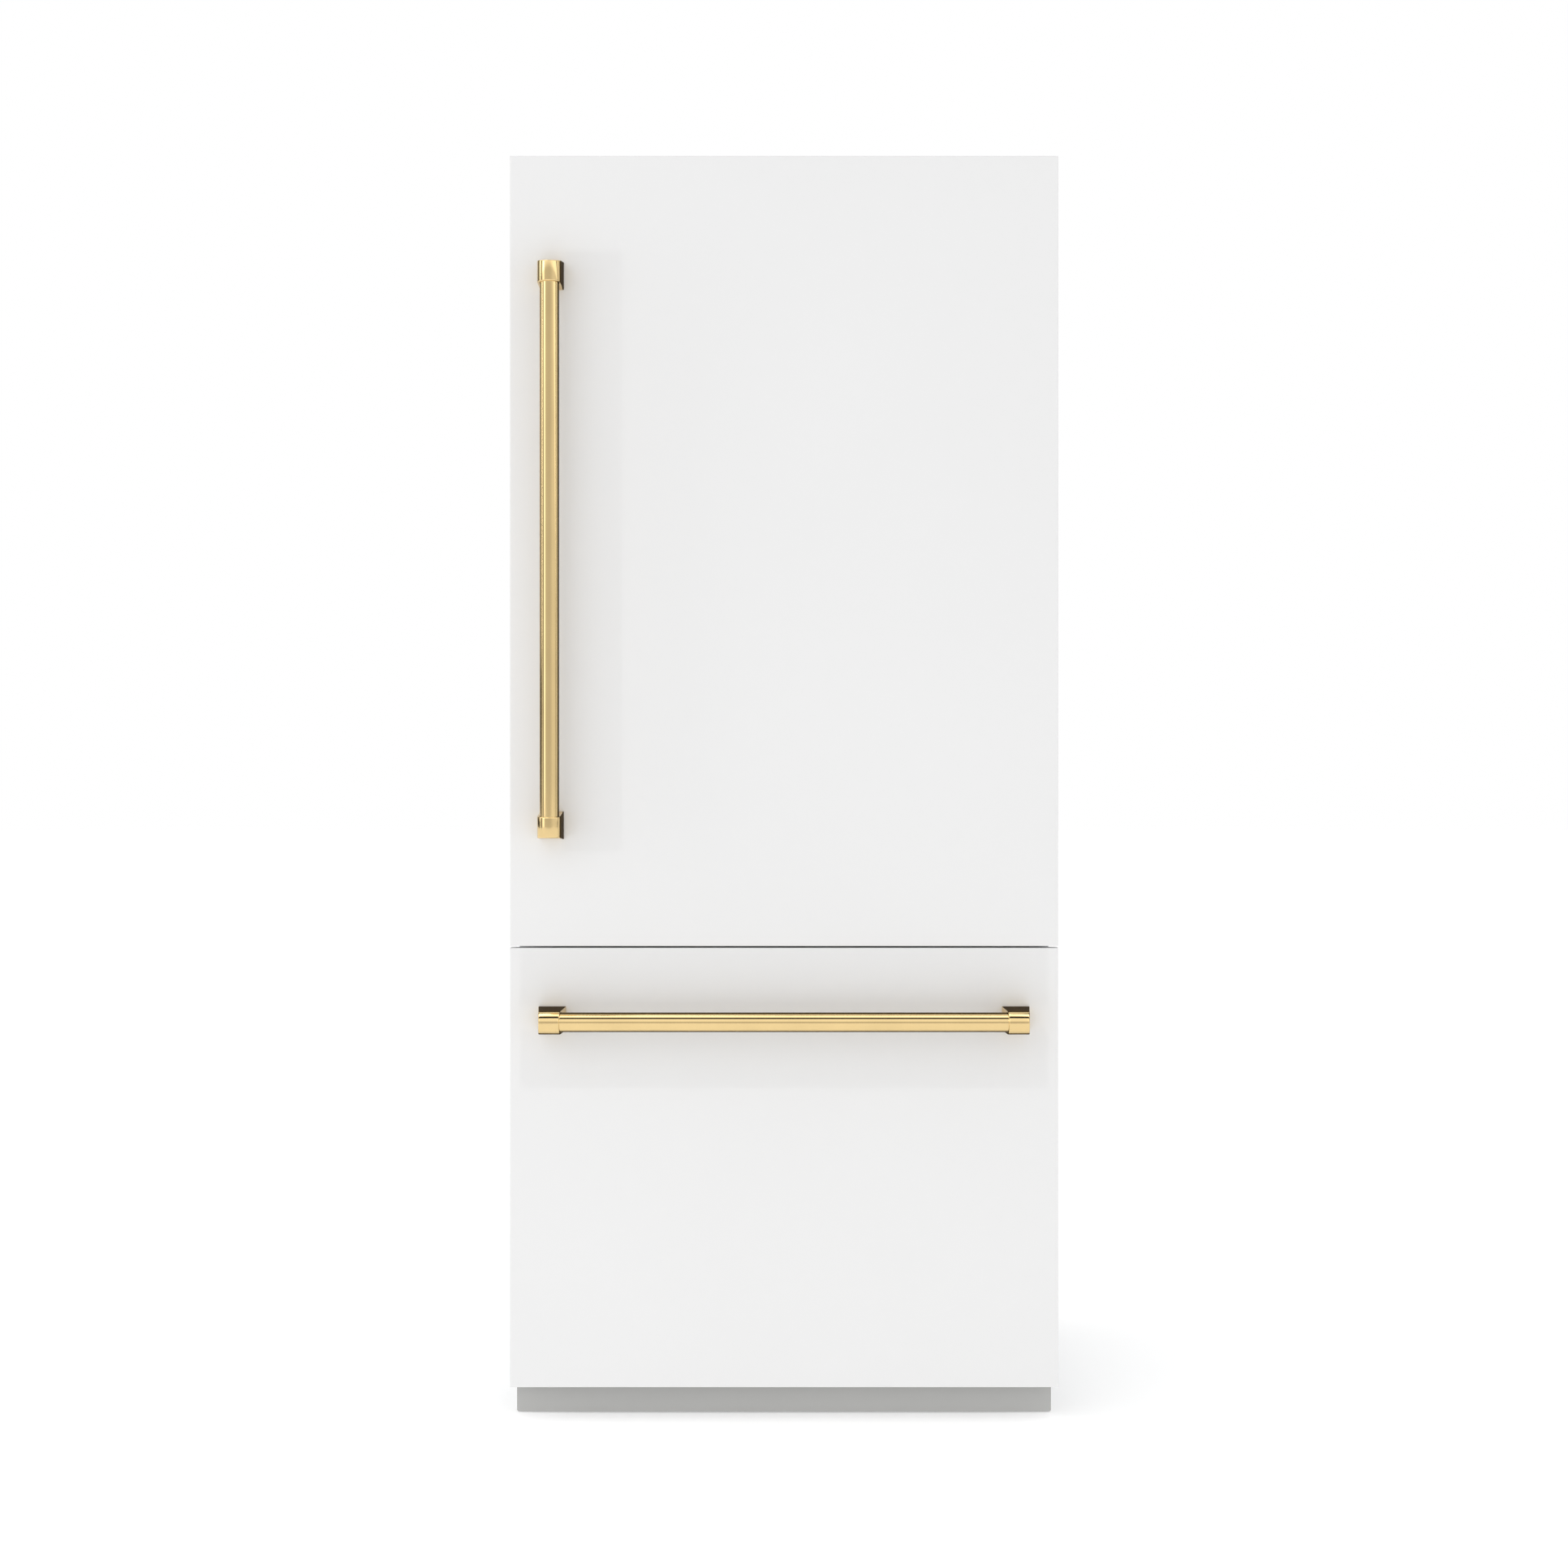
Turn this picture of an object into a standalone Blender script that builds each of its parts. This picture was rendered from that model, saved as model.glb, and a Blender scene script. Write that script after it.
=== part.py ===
"""A built-in refrigerator: one full-width door over one full-width freezer drawer.

Metres, +Z up. The front faces -Y, the middle of the width is X = 0 and the floor is Z = 0.
Each function below makes one sub-part, or one set of like sub-parts.
"""

import math

import bmesh
import bpy
from mathutils import Matrix, Vector

# Fits and sheet thicknesses.
GAP = 0.0003
SHEET = 0.0012
LINER_T = 0.0025
TRAY_T = 0.002

# Front panels, cabinet and the depths of the layers from front to back.
PANEL_W = 0.908
DOOR_H = 1.308
DRAWER_H = 0.727
PANEL_FOOT = 0.0555
PANEL_GAP = 0.0032
PANEL_T = 0.019
PANEL_ROUND = 0.0015
CORE_T = 0.050
SEAL_GAP = 0.012
CABINET_D = 0.560
SIDE_REVEAL = 0.0075
TOP_REVEAL = 0.008
BOTTOM_REVEAL = 0.0042
CORE_INSET = 0.008
CORE_TOP_GAP = 0.001

# The plinth plate under the drawer.
KICK_RECESS = 0.042
KICK_BOTTOM = 0.002
KICK_CORNER = 0.0027
KICK_CLEARANCE = 0.0005
KICK_RETURN = 0.020

# Handles: a tube between two brackets that taper away from the panel.
HANDLE_AXIS = 0.0457
BAR_R = 0.0159
BAR_BORE_R = 0.0135
BRACKET_WALL = 0.0039
BRACKET_R = BAR_R + BRACKET_WALL
BRACKET_BASE_L = 0.046
BRACKET_FRONT_L = 0.0334
BRACKET_ROUND = 0.0016
SOCKET_DEPTH = 0.012
DOOR_HANDLE_INSET = 0.070
DOOR_HANDLE_RISE = 0.1771
DOOR_HANDLE_DROP = 0.1764
DRAWER_HANDLE_INSET = 0.0475
DRAWER_HANDLE_DROP = 0.116

# Insulated walls around the two compartments.
FRIDGE_WALL = 0.0465
FREEZER_WALL = 0.0515
FRIDGE_FLOOR = 0.040
FRIDGE_ROOF = 0.054
FRIDGE_REAR = 0.070
FREEZER_FLOOR = 0.052
FREEZER_ROOF = 0.0408
FREEZER_REAR = 0.090
BAY_D = 0.175
BAY_H = 0.204
BAY_WALL = 0.045

# Hinges of the door.
HINGE_INSET = 0.024
HINGE_SET_BACK = 0.020
HINGE_NOSE_R = 0.011
HINGE_PLATE_T = 0.004
HINGE_ARM_L = 0.050
HINGE_ARM_INSET = 0.001
HINGE_ARM_BACK = 0.060
HINGE_TOP_SHOULDER = 0.040
HINGE_MIDDLE_SHOULDER = 0.034
HINGE_BACKSET = 0.0005
FLANGE_T = 0.0025
FLANGE_MARGIN = 0.0025
FLANGE_LEFT = 0.010
FLANGE_RIGHT = 0.002
PIN_R = 0.005
PIN_CLEARANCE = 0.0006
PIN_L = 0.026
PIN_HOLE_EXTRA = 0.005

# Seals between the doors and the cabinet.
SEAL_W = 0.020
SEAL_MARGIN = 0.006
SEAL_CLEARANCE = 0.0018

# Fittings of the fresh-food compartment.
SHELF_COUNT = 3
SHELF_FRONT = 0.120
SHELF_BACK = 0.035
SHELF_SIDE = 0.0035
SHELF_T = 0.022
SHELF_RIM = 0.0105
GLASS_T = 0.004
GLASS_SEAT = 0.010
COVER_GLASS_T = 0.005
LEDGE_W = 0.010
LEDGE_T = 0.006
CRISPER_LEDGE = 0.198
CRISPER_TOP = 0.015
CRISPER_SIDE = 0.010
CRISPER_FRONT = 0.125
CRISPER_BACK = 0.040
CRISPER_MIDDLE = 0.004
CRISPER_WALL = 0.0025
CRISPER_LIFT = 0.0005
GRIP_W = 0.160
GRIP_REACH = 0.012
GRIP_H = 0.012
GRIP_DROP = 0.030
DUCT_W = 0.210
DUCT_T = 0.022
DUCT_FOOT = 0.010
DUCT_TOP = 0.018
DUCT_ROUND = 0.006
DUCT_SLOT_W = 0.070
DUCT_SLOT_H = 0.008
DUCT_SLOT_X = 0.052
DUCT_SLOT_SHARE = 0.62
HOUSING_W = 0.260
HOUSING_D = 0.100
HOUSING_H = 0.030
HOUSING_FRONT = 0.028
HOUSING_ROUND = 0.004
BUTTON_W = 0.016
BUTTON_H = 0.010
BUTTON_X = 0.040
BUTTON_TRAVEL = 0.0015
BUTTON_CLEARANCE = 0.0005
BUTTON_LIP = 0.0015

# Fittings of the door's inner side.
DOOR_LINER_T = 0.003
DYKE_INSET = 0.048
DYKE_W = 0.025
DYKE_REACH = 0.070
DYKE_BELOW_ROOF = 0.058
DYKE_BELOW_BIN = 0.015
BIN_RISE = 0.223
BIN_REACH = 0.100
BIN_RIM = 0.004
BIN_WALL = 0.002
BIN_TAPER = 0.996
BIN_SIDE = 0.0035
BIN_HEIGHTS = (0.130, 0.100, 0.100, 0.090)
BIN_NAMES = ("bottle_bin", "door_bin_lower", "door_bin_upper", "dairy_bin")
LUG_W = 0.014
LID_ABOVE_BIN = 0.007
LID_SKIRT = 0.057
LID_T = 0.003
LID_BARREL_R = 0.004
LID_PIN_R = 0.0025
LID_PIN_CLEARANCE = 0.0005
LID_SIDE = 0.0025
LID_BARREL_GAP = 0.002

# Fittings of the freezer compartment.
SLIDE_Z = 0.332
SLIDE_H = 0.045
SLIDE_STEP = 0.0035
SLIDE_W = 0.009
SLIDE_FRONT = 0.006
SLIDE_LEDGE = 0.012
BASKET_SIDE = 0.030
BASKET_RIM = 0.014
BASKET_WALL = 0.0025
BASKET_FRONT = 0.010
BASKET_FLOOR = 0.020
BASKET_REAR = 0.017
TRAY_CLEARANCE = 0.001
TRAY_H = 0.150
TRAY_TRAVEL = 0.110
EVAPORATOR_ROOM = 0.070
EVAPORATOR_FAN_R = 0.050
EVAPORATOR_FAN_Z = 0.093
EVAPORATOR_COVER_T = 0.003
EVAPORATOR_FAN_Y = 0.008
EVAPORATOR_TUBE_R = 0.004
EVAPORATOR_END = 0.095
EVAPORATOR_FOOT = 0.035
EVAPORATOR_TOP = 0.095
EVAPORATOR_ROWS = 5
COVER_SIDE = 0.002
COVER_END = 0.0015
GRILLE_RIM = 0.004
GRILLE_TURN = 97
GRILLE_ARC = 106
GRILLE_HUB_ARC = 86

# Machinery behind and below the freezer.
FOOT_R = 0.018
FOOT_PAD_H = 0.008
FOOT_STEM_R = 0.005
FOOT_STEM_REACH = 0.024
FOOT_X_INSET = 0.0665
FOOT_Y = 0.050
ROLLER_R = 0.018
ROLLER_W = 0.022
ROLLER_BORE_R = 0.0046
ROLLER_FROM_BACK = 0.055
AXLE_R = 0.004
CHEEK_T = 0.002
CHEEK_GAP = 0.0015
COMPRESSOR_R = 0.070
COMPRESSOR_H = 0.150
COMPRESSOR_INSET = 0.1765
CONDENSER_FAN_R = 0.062
CONDENSER_FAN_X = 0.066
CONDENSER_FAN_Z = 0.104
CONDENSER_INSET = 0.0865
CONDENSER_END = 0.100
CONDENSER_TUBE_R = 0.0032
CONDENSER_FOOT = 0.030
CONDENSER_TOP = 0.035
CONDENSER_ROWS = 6
COMPRESSOR_DOME = 0.055
COMPRESSOR_KEEL = 0.030
COMPRESSOR_PLATE = 0.8
VENT_COUNT = 10
VENT_X = 0.070
VENT_PITCH = 0.022
VENT_W = 0.008
VENT_MARGIN = 0.045
FAN_DEPTH = 0.018
FAN_HUB_R = 0.018
FAN_SHAFT_R = 0.002
FAN_BORE_R = 0.0025
FAN_BORE_L = 0.011
FAN_BORE_CLEARANCE = 0.001
BLADE_COUNT = 5
BLADE_CHORD = 0.020
BLADE_PITCH = math.radians(35)
BLADE_T = 0.0016

# Places that follow from the sizes above.
HANDLE_REACH = HANDLE_AXIS + BRACKET_R
OVERALL_D = HANDLE_REACH + PANEL_T + CORE_T + SEAL_GAP + CABINET_D
FRONT_Y = -OVERALL_D / 2
FACE_Y = FRONT_Y + HANDLE_REACH
PANEL_BACK = FACE_Y + PANEL_T
CORE_BACK = PANEL_BACK + CORE_T
CAB_Y0 = CORE_BACK + SEAL_GAP
CAB_Y1 = CAB_Y0 + CABINET_D
SHELL_Y0 = CAB_Y0 + SHEET + GAP
DRAWER_Z0 = PANEL_FOOT
DRAWER_Z1 = DRAWER_Z0 + DRAWER_H
DOOR_Z0 = DRAWER_Z1 + PANEL_GAP
DOOR_Z1 = DOOR_Z0 + DOOR_H
CAB_Z0 = DRAWER_Z0 + BOTTOM_REVEAL
CAB_Z1 = DOOR_Z1 - TOP_REVEAL
CAB_X = PANEL_W / 2 - SIDE_REVEAL
INSIDE_X = CAB_X - SHEET - GAP
FLOOR_Z = CAB_Z0 + TRAY_T + GAP
ROOF_Z = CAB_Z1 - SHEET - GAP
REAR_Y = CAB_Y1 - SHEET - GAP
FRIDGE_X = CAB_X - FRIDGE_WALL
FRIDGE_Z0 = DOOR_Z0 + FRIDGE_FLOOR
FRIDGE_Z1 = CAB_Z1 - FRIDGE_ROOF
FRIDGE_BACK = CAB_Y1 - FRIDGE_REAR
FREEZER_X = CAB_X - FREEZER_WALL
FREEZER_Z0 = CAB_Z0 + FREEZER_FLOOR
FREEZER_Z1 = DRAWER_Z1 - FREEZER_ROOF
FREEZER_BACK = CAB_Y1 - FREEZER_REAR
BAY_Y0 = CAB_Y1 - BAY_D
BAY_Z1 = CAB_Z0 + BAY_H
STEP_Y = BAY_Y0 - BAY_WALL - LINER_T
STEP_Z = BAY_Z1 + BAY_WALL
HINGE_X = PANEL_W / 2 - HINGE_INSET
HINGE_Y = PANEL_BACK + HINGE_SET_BACK
DOOR_LINER_Y0 = CORE_BACK + GAP
DOOR_LINER_Y1 = DOOR_LINER_Y0 + DOOR_LINER_T
DYKE_X1 = FRIDGE_X - DYKE_INSET
DYKE_X0 = DYKE_X1 - DYKE_W
BIN_Z0 = FRIDGE_Z0 + BIN_RISE
DYKE_Z0 = BIN_Z0 - DYKE_BELOW_BIN
DYKE_Z1 = FRIDGE_Z1 - DYKE_BELOW_ROOF
BIN_PITCH = (DYKE_Z1 - BIN_Z0) / len(BIN_NAMES)
LID_Y = DOOR_LINER_Y1 + LID_BARREL_R + LID_BARREL_GAP
LID_Z = BIN_Z0 + BIN_PITCH * 3 + BIN_HEIGHTS[3] + LID_ABOVE_BIN
CRISPER_LEDGE_Z = FRIDGE_Z0 + CRISPER_LEDGE
SHELF_PITCH = (FRIDGE_Z1 - CRISPER_LEDGE_Z) / (SHELF_COUNT + 1)
SHELF_Y0 = CAB_Y0 + SHELF_FRONT
SHELF_Y1 = FRIDGE_BACK - SHELF_BACK
SLIDE_CENTRE = FREEZER_Z0 + SLIDE_Z
COVER_Y = FREEZER_BACK - EVAPORATOR_ROOM
FAN_SHELL_Z = FREEZER_Z1 - EVAPORATOR_FAN_Z
BASKET_TOP = SLIDE_CENTRE + SLIDE_H / 2 - 2 * SLIDE_STEP + GAP
FOOT_X = CAB_X - FOOT_X_INSET
FOOT_STEM_TOP = CAB_Z0 + FOOT_STEM_REACH
ROLLER_Y = CAB_Y1 - ROLLER_FROM_BACK
BAY_MIDDLE = CAB_Y1 - BAY_D / 2

SMOOTH_ANGLE = math.radians(35)

# Finish name: sRGB colour, roughness, metallic.
FINISHES = {
    "white_paint": ("EEEEEE", 0.45, 0.0),
    "polished_brass": ("C9A468", 0.16, 1.0),
    "kick_grey": ("B6B6B4", 0.5, 0.0),
    "cabinet_grey": ("B9BBBC", 0.45, 0.0),
    "galvanised_steel": ("A9ADB0", 0.42, 1.0),
    "core_grey": ("B9BBBC", 0.45, 0.0),
    "foam": ("E3D9B8", 0.9, 0.0),
    "white_plastic": ("F2F3F2", 0.4, 0.0),
    "clear_plastic": ("E3ECEF", 0.12, 0.0),
    "shelf_glass": ("D5E6E0", 0.05, 0.0),
    "seal_rubber": ("D9D9D6", 0.7, 0.0),
    "black_enamel": ("16171A", 0.35, 0.0),
    "black_plastic": ("1D1E20", 0.5, 0.0),
    "copper": ("B8734A", 0.3, 1.0),
    "aluminium": ("C8CBCE", 0.35, 1.0),
}


def clear_scene():
    """Removes the objects that the scene starts with."""
    for obj in list(bpy.data.objects):
        bpy.data.objects.remove(obj, do_unlink=True)


def new_collection(name):
    collection = bpy.data.collections.new(name)
    bpy.context.scene.collection.children.link(collection)
    return collection


def linear(value):
    """The linear value of one sRGB channel."""
    return value / 12.92 if value <= 0.04045 else ((value + 0.055) / 1.055) ** 2.4


def material(finish):
    """The material of a finish, made the first time that it is asked for."""
    if finish in bpy.data.materials:
        return bpy.data.materials[finish]
    colour, roughness, metallic = FINISHES[finish]
    channels = [linear(int(colour[i : i + 2], 16) / 255) for i in (0, 2, 4)]
    made = bpy.data.materials.new(finish)
    made.use_nodes = True
    shader = made.node_tree.nodes["Principled BSDF"]
    shader.inputs["Base Color"].default_value = (*channels, 1)
    shader.inputs["Roughness"].default_value = roughness
    shader.inputs["Metallic"].default_value = metallic
    made.diffuse_color = (*channels, 1)
    return made


def add_box(bm, low, high):
    """Adds a box between two corners."""
    low = Vector(low)
    high = Vector(high)
    matrix = Matrix.Translation((low + high) / 2) @ Matrix.Diagonal((*(high - low), 1))
    return bmesh.ops.create_cube(bm, size=1, matrix=matrix)["verts"]


def add_cylinder(bm, centre, radius, length, axis="Z", segments=24):
    """Adds a capped cylinder along a world axis."""
    turns = {
        "X": Matrix.Rotation(math.pi / 2, 4, "Y"),
        "Y": Matrix.Rotation(math.pi / 2, 4, "X"),
        "Z": Matrix.Identity(4),
    }
    matrix = Matrix.Translation(centre) @ turns[axis]
    bmesh.ops.create_cone(
        bm, cap_ends=True, segments=segments, radius1=radius, radius2=radius, depth=length, matrix=matrix
    )


def box(low, high):
    bm = bmesh.new()
    add_box(bm, low, high)
    return bm


def cylinder(centre, radius, length, axis="Z", segments=24):
    bm = bmesh.new()
    add_cylinder(bm, centre, radius, length, axis, segments)
    return bm


def rectangle(u0, v0, u1, v1):
    return [(u0, v0), (u1, v0), (u1, v1), (u0, v1)]


def arc(centre, radius, start, end, steps):
    """Points on an arc, from one angle to another in degrees."""
    angles = [math.radians(start + (end - start) * i / steps) for i in range(steps + 1)]
    return [(centre[0] + radius * math.cos(a), centre[1] + radius * math.sin(a)) for a in angles]


def circle(centre, radius, steps=24):
    return arc(centre, radius, 0, 360, steps)[:-1]


def plate(loops, low, high, axis):
    """A flat outline with its holes, extruded along a world axis from low to high.

    The outline's two coordinates are (x, y) for axis Z, (x, z) for axis Y and (y, z) for axis X.
    """
    curve = bpy.data.curves.new("outline", "CURVE")
    curve.dimensions = "2D"
    curve.fill_mode = "BOTH"
    curve.extrude = (high - low) / 2
    for loop in loops:
        spline = curve.splines.new("POLY")
        spline.points.add(len(loop) - 1)
        for point, (u, v) in zip(spline.points, loop):
            point.co = (u, v, 0, 1)
        spline.use_cyclic_u = True
    outline = bpy.data.objects.new("outline", curve)
    bpy.context.scene.collection.objects.link(outline)
    graph = bpy.context.evaluated_depsgraph_get()
    mesh = bpy.data.meshes.new_from_object(outline.evaluated_get(graph))
    bm = bmesh.new()
    bm.from_mesh(mesh)
    bpy.data.objects.remove(outline, do_unlink=True)
    bpy.data.curves.remove(curve)
    bpy.data.meshes.remove(mesh)
    turns = {
        "X": Matrix(((0, 0, 1, 0), (1, 0, 0, 0), (0, 1, 0, 0), (0, 0, 0, 1))),
        "Y": Matrix(((1, 0, 0, 0), (0, 0, 1, 0), (0, 1, 0, 0), (0, 0, 0, 1))),
        "Z": Matrix.Identity(4),
    }
    bmesh.ops.remove_doubles(bm, verts=bm.verts, dist=1e-5)
    bmesh.ops.translate(bm, verts=bm.verts, vec=(0, 0, (low + high) / 2))
    bmesh.ops.transform(bm, verts=bm.verts, matrix=turns[axis])
    bmesh.ops.recalc_face_normals(bm, faces=bm.faces)
    bmesh.ops.dissolve_limit(bm, verts=bm.verts, edges=bm.edges, angle_limit=math.radians(0.5))
    return bm


def make(name, bm, finish, origin=(0, 0, 0), smooth=False):
    """Makes a sub-part from a shape in world coordinates, with its origin on the given point."""
    bmesh.ops.translate(bm, verts=bm.verts, vec=-Vector(origin))
    mesh = bpy.data.meshes.new(name)
    bm.to_mesh(mesh)
    bm.free()
    if smooth:
        mesh.shade_smooth()
        mesh.set_sharp_from_angle(angle=SMOOTH_ANGLE)
    mesh.materials.append(material(finish))
    obj = bpy.data.objects.new(name, mesh)
    obj.location = origin
    PARTS.objects.link(obj)
    return obj


def combine(obj, operation, note, bm):
    """Cuts a shape from a sub-part (DIFFERENCE) or joins it on (UNION), with a Boolean modifier."""
    mesh = bpy.data.meshes.new(f"{obj.name}_{note}")
    bm.to_mesh(mesh)
    bm.free()
    tool = bpy.data.objects.new(mesh.name, mesh)
    tool.hide_render = True
    tool.display_type = "WIRE"
    CUTTERS.objects.link(tool)
    modifier = obj.modifiers.new(note, "BOOLEAN")
    modifier.operation = operation
    modifier.object = tool


def mount(name, place, pieces):
    """Makes an empty on a joint's axis and hangs the moving body's sub-parts on it, where they are."""
    empty = bpy.data.objects.new(name, None)
    empty.location = place
    PARTS.objects.link(empty)
    for piece in pieces:
        piece.parent = empty
        piece.matrix_parent_inverse = Matrix.Translation(place).inverted()


def cut(obj, note, bm):
    combine(obj, "DIFFERENCE", note, bm)


def join(obj, note, bm):
    combine(obj, "UNION", note, bm)


def thicken(obj, thickness):
    """Gives an open surface a wall, on the inner side of its faces."""
    modifier = obj.modifiers.new("wall", "SOLIDIFY")
    modifier.thickness = thickness
    modifier.offset = -1
    modifier.use_even_offset = True


def pan(name, low, high, open_side, wall, rounding, finish):
    """A box that is open on one side, with the edges of the side opposite rounded."""
    open_side = Vector(open_side)
    bm = box(low, high)
    bm.normal_update()
    opposite = next(face for face in bm.faces if face.normal.dot(open_side) < -0.9)
    rim = list(opposite.edges)
    opened = [face for face in bm.faces if face.normal.dot(open_side) > 0.9]
    bmesh.ops.delete(bm, geom=opened, context="FACES_ONLY")
    bmesh.ops.bevel(bm, geom=rim, offset=rounding, segments=2, profile=0.5, affect="EDGES")
    obj = make(name, bm, finish)
    thicken(obj, wall)
    return obj


def tray(name, low, high, wall, finish, taper=0.97, corner=0.014, rim=0.0, origin=(0, 0, 0)):
    """An open-topped tray with round upright corners, a narrower floor and a turned-out rim.

    The low and high corners are those of the tray with its rim. The rim's thickness is inside them.
    """
    low = Vector(low)
    high = Vector(high)
    inset = Vector((rim, rim, 0))
    lift = Vector((0, 0, wall if rim else 0))
    bm = box(low + inset, high - inset - lift)
    bm.normal_update()
    upright = [edge for edge in bm.edges if abs(edge.verts[0].co.z - edge.verts[1].co.z) > wall]
    bmesh.ops.bevel(bm, geom=upright, offset=corner, segments=3, profile=0.5, affect="EDGES")
    bm.normal_update()
    top = [face for face in bm.faces if face.normal.z > 0.9]
    mouth = list(top[0].edges)
    bmesh.ops.delete(bm, geom=top, context="FACES_ONLY")
    middle = (low + high) / 2
    for vert in bm.verts:
        if vert.co.z < middle.z:
            vert.co.x = middle.x + (vert.co.x - middle.x) * taper
            vert.co.y = middle.y + (vert.co.y - middle.y) * taper
    if rim:
        made = bmesh.ops.extrude_edge_only(bm, edges=mouth)["geom"]
        half = (high - low) / 2
        for vert in (item for item in made if isinstance(item, bmesh.types.BMVert)):
            vert.co.x = middle.x + (vert.co.x - middle.x) * half.x / (half.x - rim)
            vert.co.y = middle.y + (vert.co.y - middle.y) * half.y / (half.y - rim)
    obj = make(name, bm, finish, origin)
    thicken(obj, wall)
    return obj


def turned(name, profile, finish, origin, axis="Z", steps=32, closed=False):
    """A turned sub-part: a profile of (radius, height) points and a Screw modifier about its axis.

    The profile runs from the top of the axis down the outer side, or round a closed loop.
    """
    bm = bmesh.new()
    verts = [bm.verts.new((radius, 0, height)) for radius, height in profile]
    for first, second in zip(verts, verts[1:] + verts[:1] if closed else verts[1:]):
        bm.edges.new((first, second))
    obj = make(name, bm, finish)
    obj.location = origin
    obj.rotation_euler = {"X": (0, math.pi / 2, 0), "Y": (math.pi / 2, 0, 0), "Z": (0, 0, 0)}[axis]
    screw = obj.modifiers.new("turn", "SCREW")
    screw.steps = steps
    screw.render_steps = steps
    screw.use_merge_vertices = True
    screw.merge_threshold = 0.00005
    screw.use_smooth_shade = False
    return obj


def tube(name, points, radius, finish):
    """A bent tube: a poly curve with a bevel and filled caps."""
    curve = bpy.data.curves.new(name, "CURVE")
    curve.dimensions = "3D"
    curve.bevel_depth = radius
    curve.bevel_resolution = 2
    curve.use_fill_caps = True
    spline = curve.splines.new("POLY")
    spline.points.add(len(points) - 1)
    for point, place in zip(spline.points, points):
        point.co = (*place, 1)
    curve.materials.append(material(finish))
    PARTS.objects.link(bpy.data.objects.new(name, curve))


def serpentine(x0, x1, y, z0, z1, rows):
    """Points of a tube that runs to and fro along X and steps up Z with half-round bends."""
    pitch = (z1 - z0) / (rows - 1)
    points = []
    for row in range(rows):
        z = z0 + pitch * row
        forward = row % 2 == 0
        ends = (x0, x1) if forward else (x1, x0)
        points += [(ends[0], y, z), (ends[1], y, z)]
        if row < rows - 1:
            side = 1 if forward else -1
            bend = arc((0, z + pitch / 2), pitch / 2, -90, 90, 6)[1:-1]
            points += [(ends[1] + side * u, y, v) for u, v in bend]
    return points


def fan(name, origin, axis, radius, bore_side):
    """A fan: a hub with a blind bore on one side, and pitched blades joined to it."""
    turn = Matrix.Rotation(math.pi / 2, 4, "Y") if axis == "X" else Matrix.Rotation(-math.pi / 2, 4, "X")
    place = Matrix.Translation(origin) @ turn
    bm = bmesh.new()
    bmesh.ops.create_cone(
        bm, cap_ends=True, segments=24, radius1=FAN_HUB_R, radius2=FAN_HUB_R, depth=FAN_DEPTH, matrix=place
    )
    obj = make(name, bm, "black_plastic", origin, smooth=True)
    blades = bmesh.new()
    root = FAN_HUB_R * 0.8
    for i in range(BLADE_COUNT):
        around = Matrix.Rotation(2 * math.pi * i / BLADE_COUNT, 4, "Z")
        shift = Matrix.Translation(((root + radius) / 2, 0, 0))
        pitch = Matrix.Rotation(BLADE_PITCH, 4, "X")
        size = Matrix.Diagonal((radius - root, BLADE_CHORD, BLADE_T, 1))
        bmesh.ops.create_cube(blades, size=1, matrix=place @ around @ shift @ pitch @ size)
    join(obj, "blades", blades)
    offset = place.to_3x3() @ Vector((0, 0, bore_side * FAN_DEPTH / 2))
    cut(obj, "bore", cylinder(Vector(origin) + offset, FAN_BORE_R, 2 * FAN_BORE_L, axis, 12))
    return obj


def front_panel(name, z0, z1):
    """A painted front panel, folded like a pan around its core."""
    low = (-PANEL_W / 2, FACE_Y, z0)
    high = (PANEL_W / 2, PANEL_BACK, z1)
    pan(name, low, high, (0, 1, 0), SHEET, PANEL_ROUND, "white_paint")


def front_core(name, z0, z1, panel_z0, panel_z1):
    """The insulated core: a block behind the panel and a plug that fills the panel."""
    skin = SHEET + GAP
    obj = make(name, box((-CAB_X, PANEL_BACK - SHEET, z0), (CAB_X, CORE_BACK, z1)), "core_grey")
    low = (-PANEL_W / 2 + skin, FACE_Y + skin, panel_z0 + skin)
    high = (PANEL_W / 2 - skin, PANEL_BACK, panel_z1 - skin)
    join(obj, "plug", box(low, high))
    return obj


def seal(name, half_x, z0, z1):
    """A seal around one compartment's mouth, fixed to the back of the door or drawer."""
    inner = rectangle(-half_x - SEAL_MARGIN, z0 - SEAL_MARGIN, half_x + SEAL_MARGIN, z1 + SEAL_MARGIN)
    reach = SEAL_MARGIN + SEAL_W
    outer = rectangle(-half_x - reach, z0 - reach, half_x + reach, z1 + reach)
    y0 = CORE_BACK + GAP
    make(name, plate([outer, inner], y0, y0 + SEAL_GAP - SEAL_CLEARANCE, "Y"), "seal_rubber")


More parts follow.
